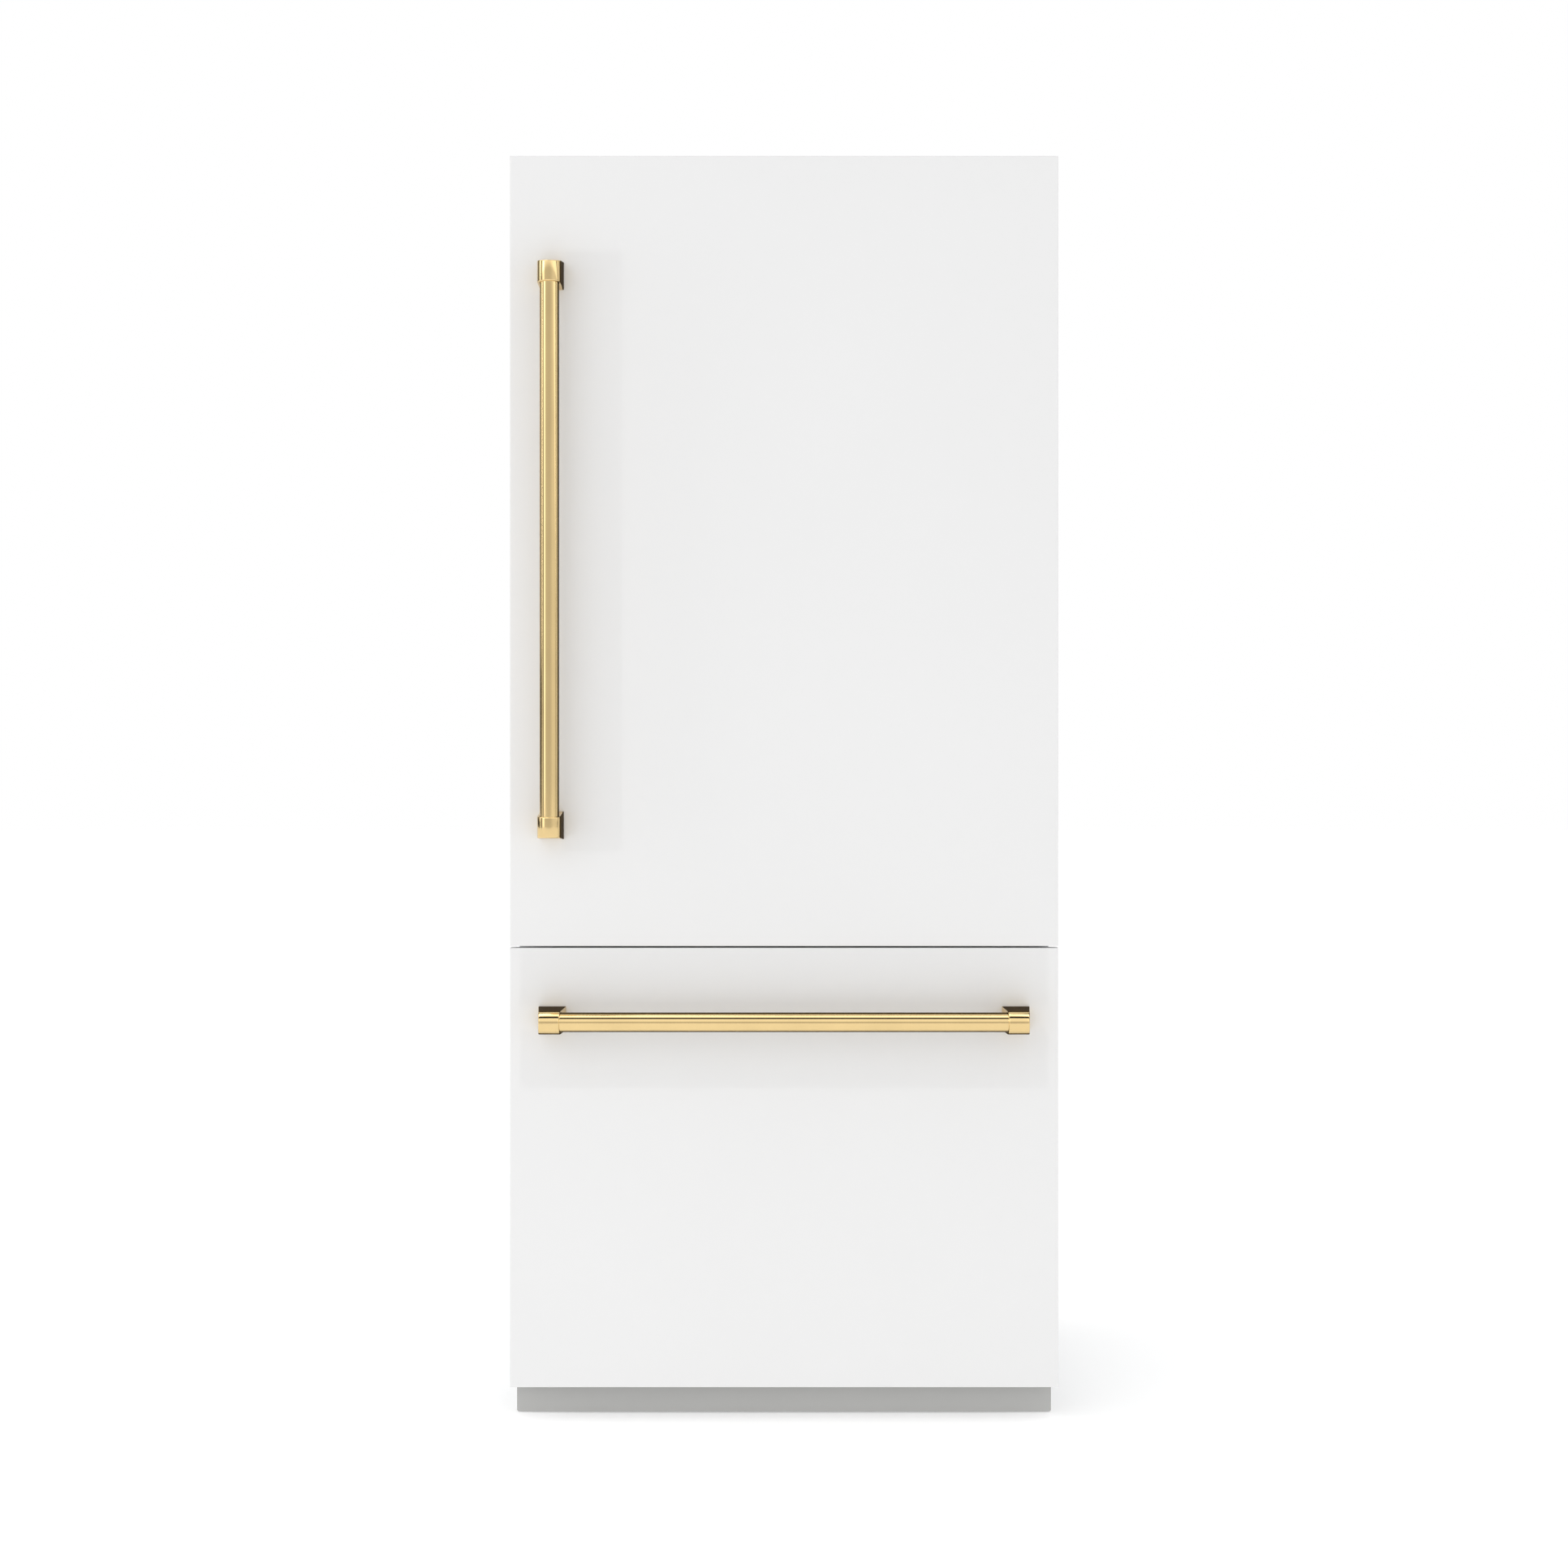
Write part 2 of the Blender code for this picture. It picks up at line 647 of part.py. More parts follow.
def handle_bracket(name, centre, side, upright):
    """A bracket with a half-round front that tapers along the bar, and a socket on one side for it."""
    outline = [(-BRACKET_R, GAP)] + arc((0, HANDLE_AXIS), BRACKET_R, 180, 0, 16) + [(BRACKET_R, GAP)]
    bm = plate([outline], -BRACKET_BASE_L / 2, BRACKET_BASE_L / 2, "Z")
    for vert in bm.verts:
        vert.co.z *= 1 - (1 - BRACKET_FRONT_L / BRACKET_BASE_L) * vert.co.y / HANDLE_REACH
    bm.normal_update()
    ends = [face for face in bm.faces if abs(face.normal.z) > 0.7]
    rims = {edge for face in ends for edge in face.edges if max(v.co.y for v in edge.verts) > 2 * GAP}
    bmesh.ops.bevel(bm, geom=list(rims), offset=BRACKET_ROUND, segments=2, profile=0.5, affect="EDGES")
    if upright:
        turn = Matrix(((1, 0, 0, 0), (0, -1, 0, 0), (0, 0, 1, 0), (0, 0, 0, 1)))
    else:
        turn = Matrix(((0, 0, 1, 0), (0, -1, 0, 0), (1, 0, 0, 0), (0, 0, 0, 1)))
    bmesh.ops.transform(bm, verts=bm.verts, matrix=Matrix.Translation(centre) @ turn)
    bmesh.ops.recalc_face_normals(bm, faces=bm.faces)
    obj = make(name, bm, "polished_brass", smooth=True)
    half = bracket_half_length()
    start = Vector(centre) + Vector((0, -HANDLE_AXIS, 0))
    along = Vector((0, 0, side)) if upright else Vector((side, 0, 0))
    hole_l = SOCKET_DEPTH * 2
    place = start + along * half
    cut(obj, "socket", cylinder(place, BAR_R + GAP, hole_l, "Z" if upright else "X", 32))


def bracket_half_length():
    """Half the bracket's length along the bar, at the height of the bar's axis."""
    lost = (BRACKET_BASE_L - BRACKET_FRONT_L) / 2
    return BRACKET_BASE_L / 2 - lost * HANDLE_AXIS / HANDLE_REACH


def handle_bar(name, centre, length, axis):
    """A handle's tube. Its ends stop a fit's gap short of the bottoms of the sockets."""
    top = length / 2
    profile = [(BAR_BORE_R, top), (BAR_R, top), (BAR_R, -top), (BAR_BORE_R, -top)]
    obj = turned(name, profile, "polished_brass", centre, axis, 32, closed=True)
    obj.modifiers["turn"].use_smooth_shade = True
    return obj


def door_handle():
    x = -PANEL_W / 2 + DOOR_HANDLE_INSET
    bottom = DOOR_Z0 + DOOR_HANDLE_RISE + BRACKET_BASE_L / 2
    top = DOOR_Z1 - DOOR_HANDLE_DROP - BRACKET_BASE_L / 2
    handle_bracket("door_handle_bracket_bottom", (x, FACE_Y, bottom), 1, True)
    handle_bracket("door_handle_bracket_top", (x, FACE_Y, top), -1, True)
    length = top - bottom - 2 * (bracket_half_length() - SOCKET_DEPTH + GAP)
    handle_bar("door_handle_bar", (x, FACE_Y - HANDLE_AXIS, (top + bottom) / 2), length, "Z")


def drawer_handle():
    z = DRAWER_Z1 - DRAWER_HANDLE_DROP
    right = PANEL_W / 2 - DRAWER_HANDLE_INSET - BRACKET_BASE_L / 2
    handle_bracket("drawer_handle_bracket_left", (-right, FACE_Y, z), 1, False)
    handle_bracket("drawer_handle_bracket_right", (right, FACE_Y, z), -1, False)
    length = 2 * (right - bracket_half_length() + SOCKET_DEPTH - GAP)
    handle_bar("drawer_handle_bar", (0, FACE_Y - HANDLE_AXIS, z), length, "X")


def door():
    """The door's panel, core and seal."""
    front_panel("door_panel", DOOR_Z0, DOOR_Z1)
    z0 = DOOR_Z0 + CORE_INSET
    z1 = CAB_Z1 - CORE_TOP_GAP
    core = front_core("door_core", z0, z1, DOOR_Z0, DOOR_Z1)
    hole_l = PIN_L + PIN_HOLE_EXTRA
    hole_r = PIN_R + PIN_CLEARANCE
    cut(core, "top_pin_hole", cylinder((HINGE_X, HINGE_Y, z1), hole_r, 2 * hole_l, "Z", 16))
    cut(core, "bottom_pin_hole", cylinder((HINGE_X, HINGE_Y, z0), hole_r, 2 * PIN_L, "Z", 16))
    seal("door_gasket", FRIDGE_X, FRIDGE_Z0, FRIDGE_Z1)


def door_liner():
    """The door's white inner plate, with two hollow dykes and the lugs that the bins stand on."""
    edge = SEAL_MARGIN / 2
    low = (-FRIDGE_X - edge, DOOR_LINER_Y0, FRIDGE_Z0 - edge)
    high = (FRIDGE_X + edge, DOOR_LINER_Y1, FRIDGE_Z1 + edge)
    obj = make("door_liner", box(low, high), "white_plastic")
    middle_y = (DOOR_LINER_Y0 + DOOR_LINER_Y1) / 2
    dykes = bmesh.new()
    hollows = bmesh.new()
    pin_holes = bmesh.new()
    lugs = bmesh.new()
    for side in (-1, 1):
        xs = sorted((side * DYKE_X0, side * DYKE_X1))
        add_box(dykes, (xs[0], middle_y, DYKE_Z0), (xs[1], CAB_Y0 + DYKE_REACH, DYKE_Z1))
        add_box(
            hollows,
            (xs[0] + LINER_T, DOOR_LINER_Y0 - LINER_T, DYKE_Z0 + LINER_T),
            (xs[1] - LINER_T, CAB_Y0 + DYKE_REACH - LINER_T, DYKE_Z1 - LINER_T),
        )
        add_cylinder(
            pin_holes,
            (side * DYKE_X0, LID_Y, LID_Z),
            LID_PIN_R + LID_PIN_CLEARANCE,
            4 * LINER_T,
            "X",
            12,
        )
        for i in range(len(BIN_NAMES)):
            z = BIN_Z0 + BIN_PITCH * i - GAP
            xl = sorted((side * (DYKE_X0 + LINER_T / 2), side * (DYKE_X0 - LUG_W)))
            add_box(lugs, (xl[0], middle_y, z - LEDGE_T), (xl[1], CAB_Y0 + DYKE_REACH / 2, z))
    join(obj, "dykes", dykes)
    cut(obj, "dyke_hollows", hollows)
    cut(obj, "lid_pin_holes", pin_holes)
    join(obj, "bin_lugs", lugs)


def door_bins():
    """Four bins across the door, between the dykes."""
    half = DYKE_X0 - BIN_SIDE
    for i, (name, height) in enumerate(zip(BIN_NAMES, BIN_HEIGHTS)):
        z = BIN_Z0 + BIN_PITCH * i
        low = (-half, DOOR_LINER_Y1 + LINER_T / 2, z)
        high = (half, CAB_Y0 + BIN_REACH, z + height)
        tray(name, low, high, BIN_WALL, "clear_plastic", taper=BIN_TAPER, rim=BIN_RIM)


def dairy_lid():
    """The lid of the dairy bin: a plate with a front skirt, on a barrel with a pin at each end."""
    half = DYKE_X0 - LID_SIDE
    front = CAB_Y0 + BIN_REACH + LID_T + BIN_RIM / 4
    top = LID_Z + LID_T / 2
    outline = [
        (LID_Y, top),
        (front, top),
        (front, top - LID_SKIRT),
        (front - LID_T, top - LID_SKIRT),
        (front - LID_T, top - LID_T),
        (LID_Y, top - LID_T),
    ]
    origin = (0, LID_Y, LID_Z)
    obj = make("dairy_lid", plate([outline], -half, half, "X"), "clear_plastic", origin)
    join(obj, "barrel", cylinder(origin, LID_BARREL_R, 2 * half, "X", 16))
    pin_l = 2 * (DYKE_X0 + LINER_T + BIN_WALL / 2)
    join(obj, "pins", cylinder(origin, LID_PIN_R, pin_l, "X", 12))


def drawer():
    """The freezer drawer's panel, core and seal."""
    front_panel("drawer_panel", DRAWER_Z0, DRAWER_Z1)
    z0 = DRAWER_Z0 + CORE_INSET
    front_core("drawer_core", z0, DRAWER_Z1 - CORE_INSET, DRAWER_Z0, DRAWER_Z1)
    seal("drawer_gasket", FREEZER_X, FREEZER_Z0, FREEZER_Z1)


def slides():
    """Telescopic slides: an outer, a middle and an inner member on each side of the freezer."""
    y1 = COVER_Y - LINER_T
    for side, name in ((-1, "left"), (1, "right")):
        members = (
            ("slide_outer", 0, -1, SHELL_Y0 + SLIDE_FRONT, y1),
            ("slide_middle", 1, -1, SHELL_Y0 + SLIDE_FRONT, y1 - LINER_T),
            ("slide_inner", 2, 1, CORE_BACK + GAP, y1 - LINER_T),
        )
        for member, layer, opening, start, end in members:
            outline = slide_section(layer, opening)
            loop = [(side * x, z) for x, z in outline]
            make(f"{member}_{name}", plate([loop], start, end, "Y"), "galvanised_steel")


def slide_section(layer, opening):
    """A C section. Each layer is lower and further in. An opening of 1 turns the C to the wall."""
    half = SLIDE_H / 2 - layer * SLIDE_STEP
    outer = FREEZER_X - GAP - layer * SHEET * 2.2
    inner = outer - SLIDE_W + layer * SHEET / 2
    low = SLIDE_CENTRE - half
    high = SLIDE_CENTRE + half
    if opening < 0:
        return [
            (outer, low),
            (outer, high),
            (inner, high),
            (inner, high - SHEET),
            (outer - SHEET, high - SHEET),
            (outer - SHEET, low + SHEET),
            (inner, low + SHEET),
            (inner, low),
        ]
    return [
        (outer, low),
        (outer, low + SHEET),
        (inner + SHEET, low + SHEET),
        (inner + SHEET, high - SHEET),
        (outer, high - SHEET),
        (outer, high),
        (inner - SLIDE_LEDGE, high),
        (inner - SLIDE_LEDGE, high - SHEET),
        (inner, high - SHEET),
        (inner, low),
    ]


def freezer_trays():
    """The deep basket that hangs on the inner slides, and the sliding tray above it."""
    half = FREEZER_X - BASKET_SIDE + BASKET_RIM
    low = (-half, CAB_Y0 + BASKET_FRONT, FREEZER_Z0 + BASKET_FLOOR)
    high = (half, STEP_Y - BASKET_REAR, BASKET_TOP + BASKET_WALL)
    tray("freezer_basket", low, high, BASKET_WALL, "clear_plastic", corner=0.025, rim=BASKET_RIM)
    z = BASKET_TOP + BASKET_WALL + TRAY_CLEARANCE
    low = (-half + BASKET_RIM / 2, CAB_Y0 + BASKET_FRONT, z)
    high = (half - BASKET_RIM / 2, COVER_Y - TRAY_TRAVEL - BASKET_REAR, z + TRAY_H)
    origin = (0, low[1], z)
    tray("freezer_tray", low, high, BASKET_WALL, "clear_plastic", corner=0.020, origin=origin)


def fridge_cavity(grow, front):
    """The fresh-food space, grown on all sides but the front."""
    low = (-FRIDGE_X - grow, front, FRIDGE_Z0 - grow)
    return box(low, (FRIDGE_X + grow, FRIDGE_BACK + grow, FRIDGE_Z1 + grow))


def freezer_cavity(grow, front):
    """The freezer space, stepped over the machine bay, grown on all sides but the front."""
    low = FREEZER_Z0 - grow
    high = FREEZER_Z1 + grow
    outline = [
        (front, low),
        (STEP_Y + grow, low),
        (STEP_Y + grow, STEP_Z - grow),
        (FREEZER_BACK + grow, STEP_Z - grow),
        (FREEZER_BACK + grow, high),
        (front, high),
    ]
    return plate([outline], -FREEZER_X - grow, FREEZER_X + grow, "X")


def liners():
    """The two white inner boxes, open to the front, and the ledges that carry the shelves."""
    before = CAB_Y0 - LINER_T
    fridge = make("fridge_liner", fridge_cavity(LINER_T, SHELL_Y0), "white_plastic")
    cut(fridge, "space", fridge_cavity(0, before))
    ledges = bmesh.new()
    for i in range(SHELF_COUNT + 1):
        top = CRISPER_LEDGE_Z + SHELF_PITCH * i - (GAP if i else 0)
        for side in (-1, 1):
            xs = sorted((side * (FRIDGE_X - LEDGE_W), side * (FRIDGE_X + LINER_T / 2)))
            add_box(ledges, (xs[0], SHELF_Y0, top - LEDGE_T), (xs[1], SHELF_Y1, top))
    join(fridge, "ledges", ledges)
    freezer = make("freezer_liner", freezer_cavity(LINER_T, SHELL_Y0), "white_plastic")
    cut(freezer, "space", freezer_cavity(0, before))


def cabinet():
    """The outer shell: a folded wrapper, a back panel, a face frame and a floor tray."""
    outline = [
        (-CAB_X, CAB_Z0),
        (-CAB_X, CAB_Z1),
        (CAB_X, CAB_Z1),
        (CAB_X, CAB_Z0),
        (CAB_X - SHEET, CAB_Z0),
        (CAB_X - SHEET, CAB_Z1 - SHEET),
        (SHEET - CAB_X, CAB_Z1 - SHEET),
        (SHEET - CAB_X, CAB_Z0),
    ]
    make("cabinet_wrapper", plate([outline], SHELL_Y0, CAB_Y1, "Y"), "cabinet_grey")
    low = (-INSIDE_X, CAB_Y1 - SHEET, BAY_Z1 + GAP)
    make("back_panel", box(low, (INSIDE_X, CAB_Y1, ROOF_Z)), "galvanised_steel")
    outer = rectangle(-CAB_X, CAB_Z0, CAB_X, CAB_Z1)
    upper = rectangle(-FRIDGE_X, FRIDGE_Z0, FRIDGE_X, FRIDGE_Z1)
    lower = rectangle(-FREEZER_X, FREEZER_Z0, FREEZER_X, FREEZER_Z1)
    frame = plate([outer, upper, lower], CAB_Y0, CAB_Y0 + SHEET, "Y")
    make("face_frame", frame, "cabinet_grey")


def cabinet_foam():
    """The insulation between the shell and the liners, with room for the machinery and the feet."""
    low = (-INSIDE_X, SHELL_Y0, FLOOR_Z)
    obj = make("cabinet_foam", box(low, (INSIDE_X, REAR_Y, ROOF_Z)), "foam")
    before = CAB_Y0 - LINER_T
    cut(obj, "fridge_space", fridge_cavity(LINER_T + GAP, before))
    cut(obj, "freezer_space", freezer_cavity(LINER_T + GAP, before))
    low = (-CAB_X, BAY_Y0, CAB_Z0 - TRAY_T)
    cut(obj, "machine_bay", box(low, (CAB_X, CAB_Y1 + TRAY_T, BAY_Z1)))
    pockets = bmesh.new()
    for side in (-1, 1):
        place = (side * FOOT_X, CAB_Y0 + FOOT_Y, FOOT_STEM_TOP / 2)
        add_cylinder(pockets, place, 2 * FOOT_STEM_R, FOOT_STEM_TOP + 2 * FOOT_STEM_R, "Z", 16)
    cut(obj, "foot_pockets", pockets)


def base_tray():
    """The floor tray, with holes for the feet, cheeks and axles for the rollers, and the fan's post."""
    outer = rectangle(-INSIDE_X, SHELL_Y0, INSIDE_X, CAB_Y1)
    holes = [
        circle((side * FOOT_X, CAB_Y0 + FOOT_Y), FOOT_STEM_R + PIN_CLEARANCE, 16) for side in (-1, 1)
    ]
    obj = make("base_tray", plate([outer, *holes], CAB_Z0, CAB_Z0 + TRAY_T, "Z"), "galvanised_steel")
    cheeks = bmesh.new()
    axles = bmesh.new()
    reach = ROLLER_W / 2 + CHEEK_GAP
    for side in (-1, 1):
        for end in (-1, 1):
            xs = sorted((end * reach, end * (reach + CHEEK_T)))
            low = (side * FOOT_X + xs[0], ROLLER_Y - ROLLER_R / 2, ROLLER_R / 2)
            high = (side * FOOT_X + xs[1], ROLLER_Y + ROLLER_R / 2, CAB_Z0 + TRAY_T / 2)
            add_box(cheeks, low, high)
        centre = (side * FOOT_X, ROLLER_Y, ROLLER_R)
        add_cylinder(axles, centre, AXLE_R, 2 * (reach + CHEEK_T / 2), "X", 16)
    join(obj, "roller_cheeks", cheeks)
    join(obj, "roller_axles", axles)
    z = CAB_Z0 + CONDENSER_FAN_Z
    post_x = CONDENSER_FAN_X - FAN_DEPTH
    low = (post_x - FAN_HUB_R, BAY_MIDDLE - FAN_HUB_R, CAB_Z0 + TRAY_T / 2)
    join(obj, "fan_post", box(low, (post_x, BAY_MIDDLE + FAN_HUB_R, z + FAN_HUB_R)))
    start = post_x - FAN_SHAFT_R
    end = CONDENSER_FAN_X + FAN_BORE_L - FAN_BORE_CLEARANCE
    place = ((start + end) / 2, BAY_MIDDLE, z)
    join(obj, "fan_shaft", cylinder(place, FAN_SHAFT_R, end - start, "X", 12))


def feet_and_rollers():
    """Two levelling feet at the front and two rollers at the back."""
    profile = [
        (0, FOOT_STEM_TOP),
        (FOOT_STEM_R, FOOT_STEM_TOP),
        (FOOT_STEM_R, FOOT_PAD_H),
        (FOOT_R, FOOT_PAD_H),
        (FOOT_R, 0),
        (0, 0),
    ]
    half = ROLLER_W / 2
    ring = [(ROLLER_BORE_R, half), (ROLLER_R, half), (ROLLER_R, -half), (ROLLER_BORE_R, -half)]
    for side, name in ((-1, "left"), (1, "right")):
        place = (side * FOOT_X, CAB_Y0 + FOOT_Y, 0)
        turned(f"foot_{name}", profile, "galvanised_steel", place, "Z", 16)
        place = (side * FOOT_X, ROLLER_Y, ROLLER_R)
        turned(f"roller_{name}", ring, "black_plastic", place, "X", 32, closed=True)


def toe_kick():
    """The grey plinth plate under the drawer, with its lower corners cut and a return to the cabinet."""
    top = CAB_Z0 - KICK_CLEARANCE
    outline = [
        (-CAB_X, top),
        (-CAB_X, KICK_BOTTOM + KICK_CORNER),
        (KICK_CORNER - CAB_X, KICK_BOTTOM),
        (CAB_X - KICK_CORNER, KICK_BOTTOM),
        (CAB_X, KICK_BOTTOM + KICK_CORNER),
        (CAB_X, top),
    ]
    front = FACE_Y + KICK_RECESS
    obj = make("toe_kick", plate([outline], front, front + SHEET, "Y"), "kick_grey")
    low = (-CAB_X, front + SHEET / 2, top - SHEET)
    join(obj, "return", box(low, (CAB_X, CAB_Y0 + KICK_RETURN, top)))


def bay_cover():
    """The cover of the machine bay, with two groups of upright slots for air."""
    low_z = FLOOR_Z
    outer = rectangle(-INSIDE_X, low_z, INSIDE_X, BAY_Z1 - GAP)
    slots = []
    for side in (-1, 1):
        for i in range(VENT_COUNT):
            x = side * (VENT_X + VENT_PITCH * i)
            low = (x - VENT_W / 2, low_z + VENT_MARGIN)
            slots.append(rectangle(*low, x + VENT_W / 2, BAY_Z1 - VENT_MARGIN))
    make("bay_cover", plate([outer, *slots], CAB_Y1 - SHEET, CAB_Y1, "Y"), "galvanised_steel")


def compressor():
    """A domed compressor can on its mounting plate."""
    dome = COMPRESSOR_DOME
    keel = COMPRESSOR_KEEL
    z1 = FLOOR_Z + COMPRESSOR_H
    top = [(COMPRESSOR_R * math.sin(a), z1 - dome + dome * math.cos(a)) for a in quarter_angles()]
    bottom = [
        (COMPRESSOR_R * math.cos(a), FLOOR_Z + GAP + keel - keel * math.sin(a)) for a in quarter_angles()
    ]
    top[0] = (0, z1)
    bottom[-1] = (0, FLOOR_Z + GAP)
    x = CAB_X - COMPRESSOR_INSET
    obj = turned("compressor", top + bottom, "black_enamel", (x, BAY_MIDDLE, 0), "Z", 32)
    obj.modifiers["turn"].use_smooth_shade = True
    half_d = COMPRESSOR_R * COMPRESSOR_PLATE
    low = (x - COMPRESSOR_R, BAY_MIDDLE - half_d, FLOOR_Z)
    high = (x + COMPRESSOR_R, BAY_MIDDLE + half_d, FLOOR_Z + 2 * SHEET)
    join(obj, "mounting_plate", box(low, high))


def quarter_angles():
    return [math.radians(15 * i) for i in range(7)]


def coils():
    """The condenser in the machine bay and the evaporator behind the freezer's rear cover."""
    x0 = CONDENSER_INSET - CAB_X
    z0 = FLOOR_Z + CONDENSER_FOOT
    z1 = BAY_Z1 - CONDENSER_TOP
    points = serpentine(x0, -CONDENSER_END, BAY_MIDDLE, z0, z1, CONDENSER_ROWS)
    tube("condenser_coil", points, CONDENSER_TUBE_R, "copper")
    half = FREEZER_X - EVAPORATOR_END
    y = COVER_Y + EVAPORATOR_ROOM / 2
    z0 = STEP_Z + EVAPORATOR_FOOT
    z1 = FAN_SHELL_Z - EVAPORATOR_TOP
    points = serpentine(-half, half, y, z0, z1, EVAPORATOR_ROWS)
    tube("evaporator_coil", points, EVAPORATOR_TUBE_R, "aluminium")


def evaporator_cover():
    """The freezer's rear cover: a plate with a fan grille, whose hub carries the fan's shaft."""
    half = FREEZER_X - COVER_SIDE
    outer = rectangle(-half, STEP_Z + COVER_END, half, FREEZER_Z1 - COVER_END)
    centre = (0, FAN_SHELL_Z)
    holes = []
    for i in range(3):
        start = 120 * i + GRILLE_TURN
        outside = arc(centre, EVAPORATOR_FAN_R + GRILLE_RIM, start, start + GRILLE_ARC, 9)
        near = start + (GRILLE_ARC - GRILLE_HUB_ARC) / 2
        holes.append(outside + arc(centre, FAN_HUB_R, near + GRILLE_HUB_ARC, near, 6))
    cover = plate([outer, *holes], COVER_Y, COVER_Y + EVAPORATOR_COVER_T, "Y")
    obj = make("evaporator_cover", cover, "white_plastic")
    start = COVER_Y + EVAPORATOR_COVER_T / 2
    end = COVER_Y + EVAPORATOR_FAN_Y + FAN_BORE_L - FAN_BORE_CLEARANCE
    place = (0, (start + end) / 2, FAN_SHELL_Z)
    join(obj, "fan_shaft", cylinder(place, FAN_SHAFT_R, end - start, "Y", 12))


def fans():
    place = (CONDENSER_FAN_X + FAN_DEPTH / 2, BAY_MIDDLE, CAB_Z0 + CONDENSER_FAN_Z)
    fan("condenser_fan", place, "X", CONDENSER_FAN_R, -1)
    place = (0, COVER_Y + EVAPORATOR_FAN_Y + FAN_DEPTH / 2, FAN_SHELL_Z)
    fan("evaporator_fan", place, "Y", EVAPORATOR_FAN_R, -1)


def hinges():
    """The door's two hinges: a plate over the cabinet with a pin down, one in the middle with a pin up."""
    z = CAB_Z1 + GAP
    nose = arc((HINGE_X, HINGE_Y), HINGE_NOSE_R, 180, 360, 12)
    right = HINGE_X + HINGE_NOSE_R - HINGE_ARM_INSET
    left = HINGE_X - HINGE_ARM_L
    back = CAB_Y0 + HINGE_ARM_BACK
    shoulder = (left, HINGE_Y + HINGE_TOP_SHOULDER)
    outline = nose[:-1] + [(right, HINGE_Y), (right, back), (left, back), shoulder]
    top = make("hinge_top", plate([outline], z, z + HINGE_PLATE_T, "Z"), "galvanised_steel")
    place = (HINGE_X, HINGE_Y, z - PIN_L / 2 + HINGE_PLATE_T / 4)
    join(top, "pin", cylinder(place, PIN_R, PIN_L + HINGE_PLATE_T / 2, "Z", 16))
    z = DOOR_Z0 + HINGE_BACKSET - HINGE_PLATE_T
    back = CAB_Y0 - GAP
    shoulder = (left, HINGE_Y + HINGE_MIDDLE_SHOULDER)
    outline = nose[:-1] + [(right, HINGE_Y), (right, back), (left, back), shoulder]
    middle = make("hinge_center", plate([outline], z, z + HINGE_PLATE_T, "Z"), "galvanised_steel")
    clear = SEAL_MARGIN + SEAL_W + FLANGE_MARGIN
    low = (left - FLANGE_LEFT, back - FLANGE_T, FREEZER_Z1 + clear)
    flange = box(low, (right + FLANGE_RIGHT, back, FRIDGE_Z0 - clear))
    join(middle, "flange", flange)
    place = (HINGE_X, HINGE_Y, z + HINGE_PLATE_T / 2 + PIN_L / 2)
    join(middle, "pin", cylinder(place, PIN_R, PIN_L, "Z", 16))


def shelves():
    """The fresh-food shelves: a moulded frame with a glass plate let into its top."""
    half = FRIDGE_X - SHELF_SIDE
    for i in range(1, SHELF_COUNT + 1):
        z = CRISPER_LEDGE_Z + SHELF_PITCH * i
        outer = rectangle(-half, SHELF_Y0, half, SHELF_Y1)
        rim = SHELF_RIM + GLASS_SEAT
        hole = rectangle(rim - half, SHELF_Y0 + rim, half - rim, SHELF_Y1 - rim)
        frame = plate([outer, hole], z, z + SHELF_T, "Z")
        obj = make(f"shelf_frame_{i}", frame, "white_plastic")
        rebate_z = z + SHELF_T - GLASS_T - 2 * GAP
        low = (SHELF_RIM - half, SHELF_Y0 + SHELF_RIM, rebate_z)
        high = (half - SHELF_RIM, SHELF_Y1 - SHELF_RIM, z + SHELF_T + GLASS_T)
        cut(obj, "glass_seat", box(low, high))
        low = (low[0] + GAP, low[1] + GAP, rebate_z + GAP)
        high = (high[0] - GAP, high[1] - GAP, rebate_z + GAP + GLASS_T)
        make(f"shelf_glass_{i}", box(low, high), "shelf_glass")
    z = CRISPER_LEDGE_Z + GAP
    make("crisper_cover", box((-half, SHELF_Y0, z), (half, SHELF_Y1, z + COVER_GLASS_T)), "shelf_glass")


def crispers():
    """Two crisper drawers side by side, each with a grip along its front."""
    for side, name in ((-1, "left"), (1, "right")):
        xs = sorted((side * CRISPER_MIDDLE, side * (FRIDGE_X - CRISPER_SIDE)))
        low = (xs[0], CAB_Y0 + CRISPER_FRONT, FRIDGE_Z0 + CRISPER_LIFT)
        high = (xs[1], FRIDGE_BACK - CRISPER_BACK, CRISPER_LEDGE_Z - CRISPER_TOP)
        middle = (xs[0] + xs[1]) / 2
        origin = (middle, low[1], low[2])
        obj = tray(
            f"crisper_{name}", low, high, CRISPER_WALL, "clear_plastic", taper=0.98, origin=origin
        )
        z = high[2] - GRIP_DROP
        low = (middle - GRIP_W / 2, CAB_Y0 + CRISPER_FRONT - GRIP_REACH, z)
        high = (middle + GRIP_W / 2, CAB_Y0 + CRISPER_FRONT + CRISPER_WALL / 2, z + GRIP_H)
        join(obj, "grip", box(low, high))


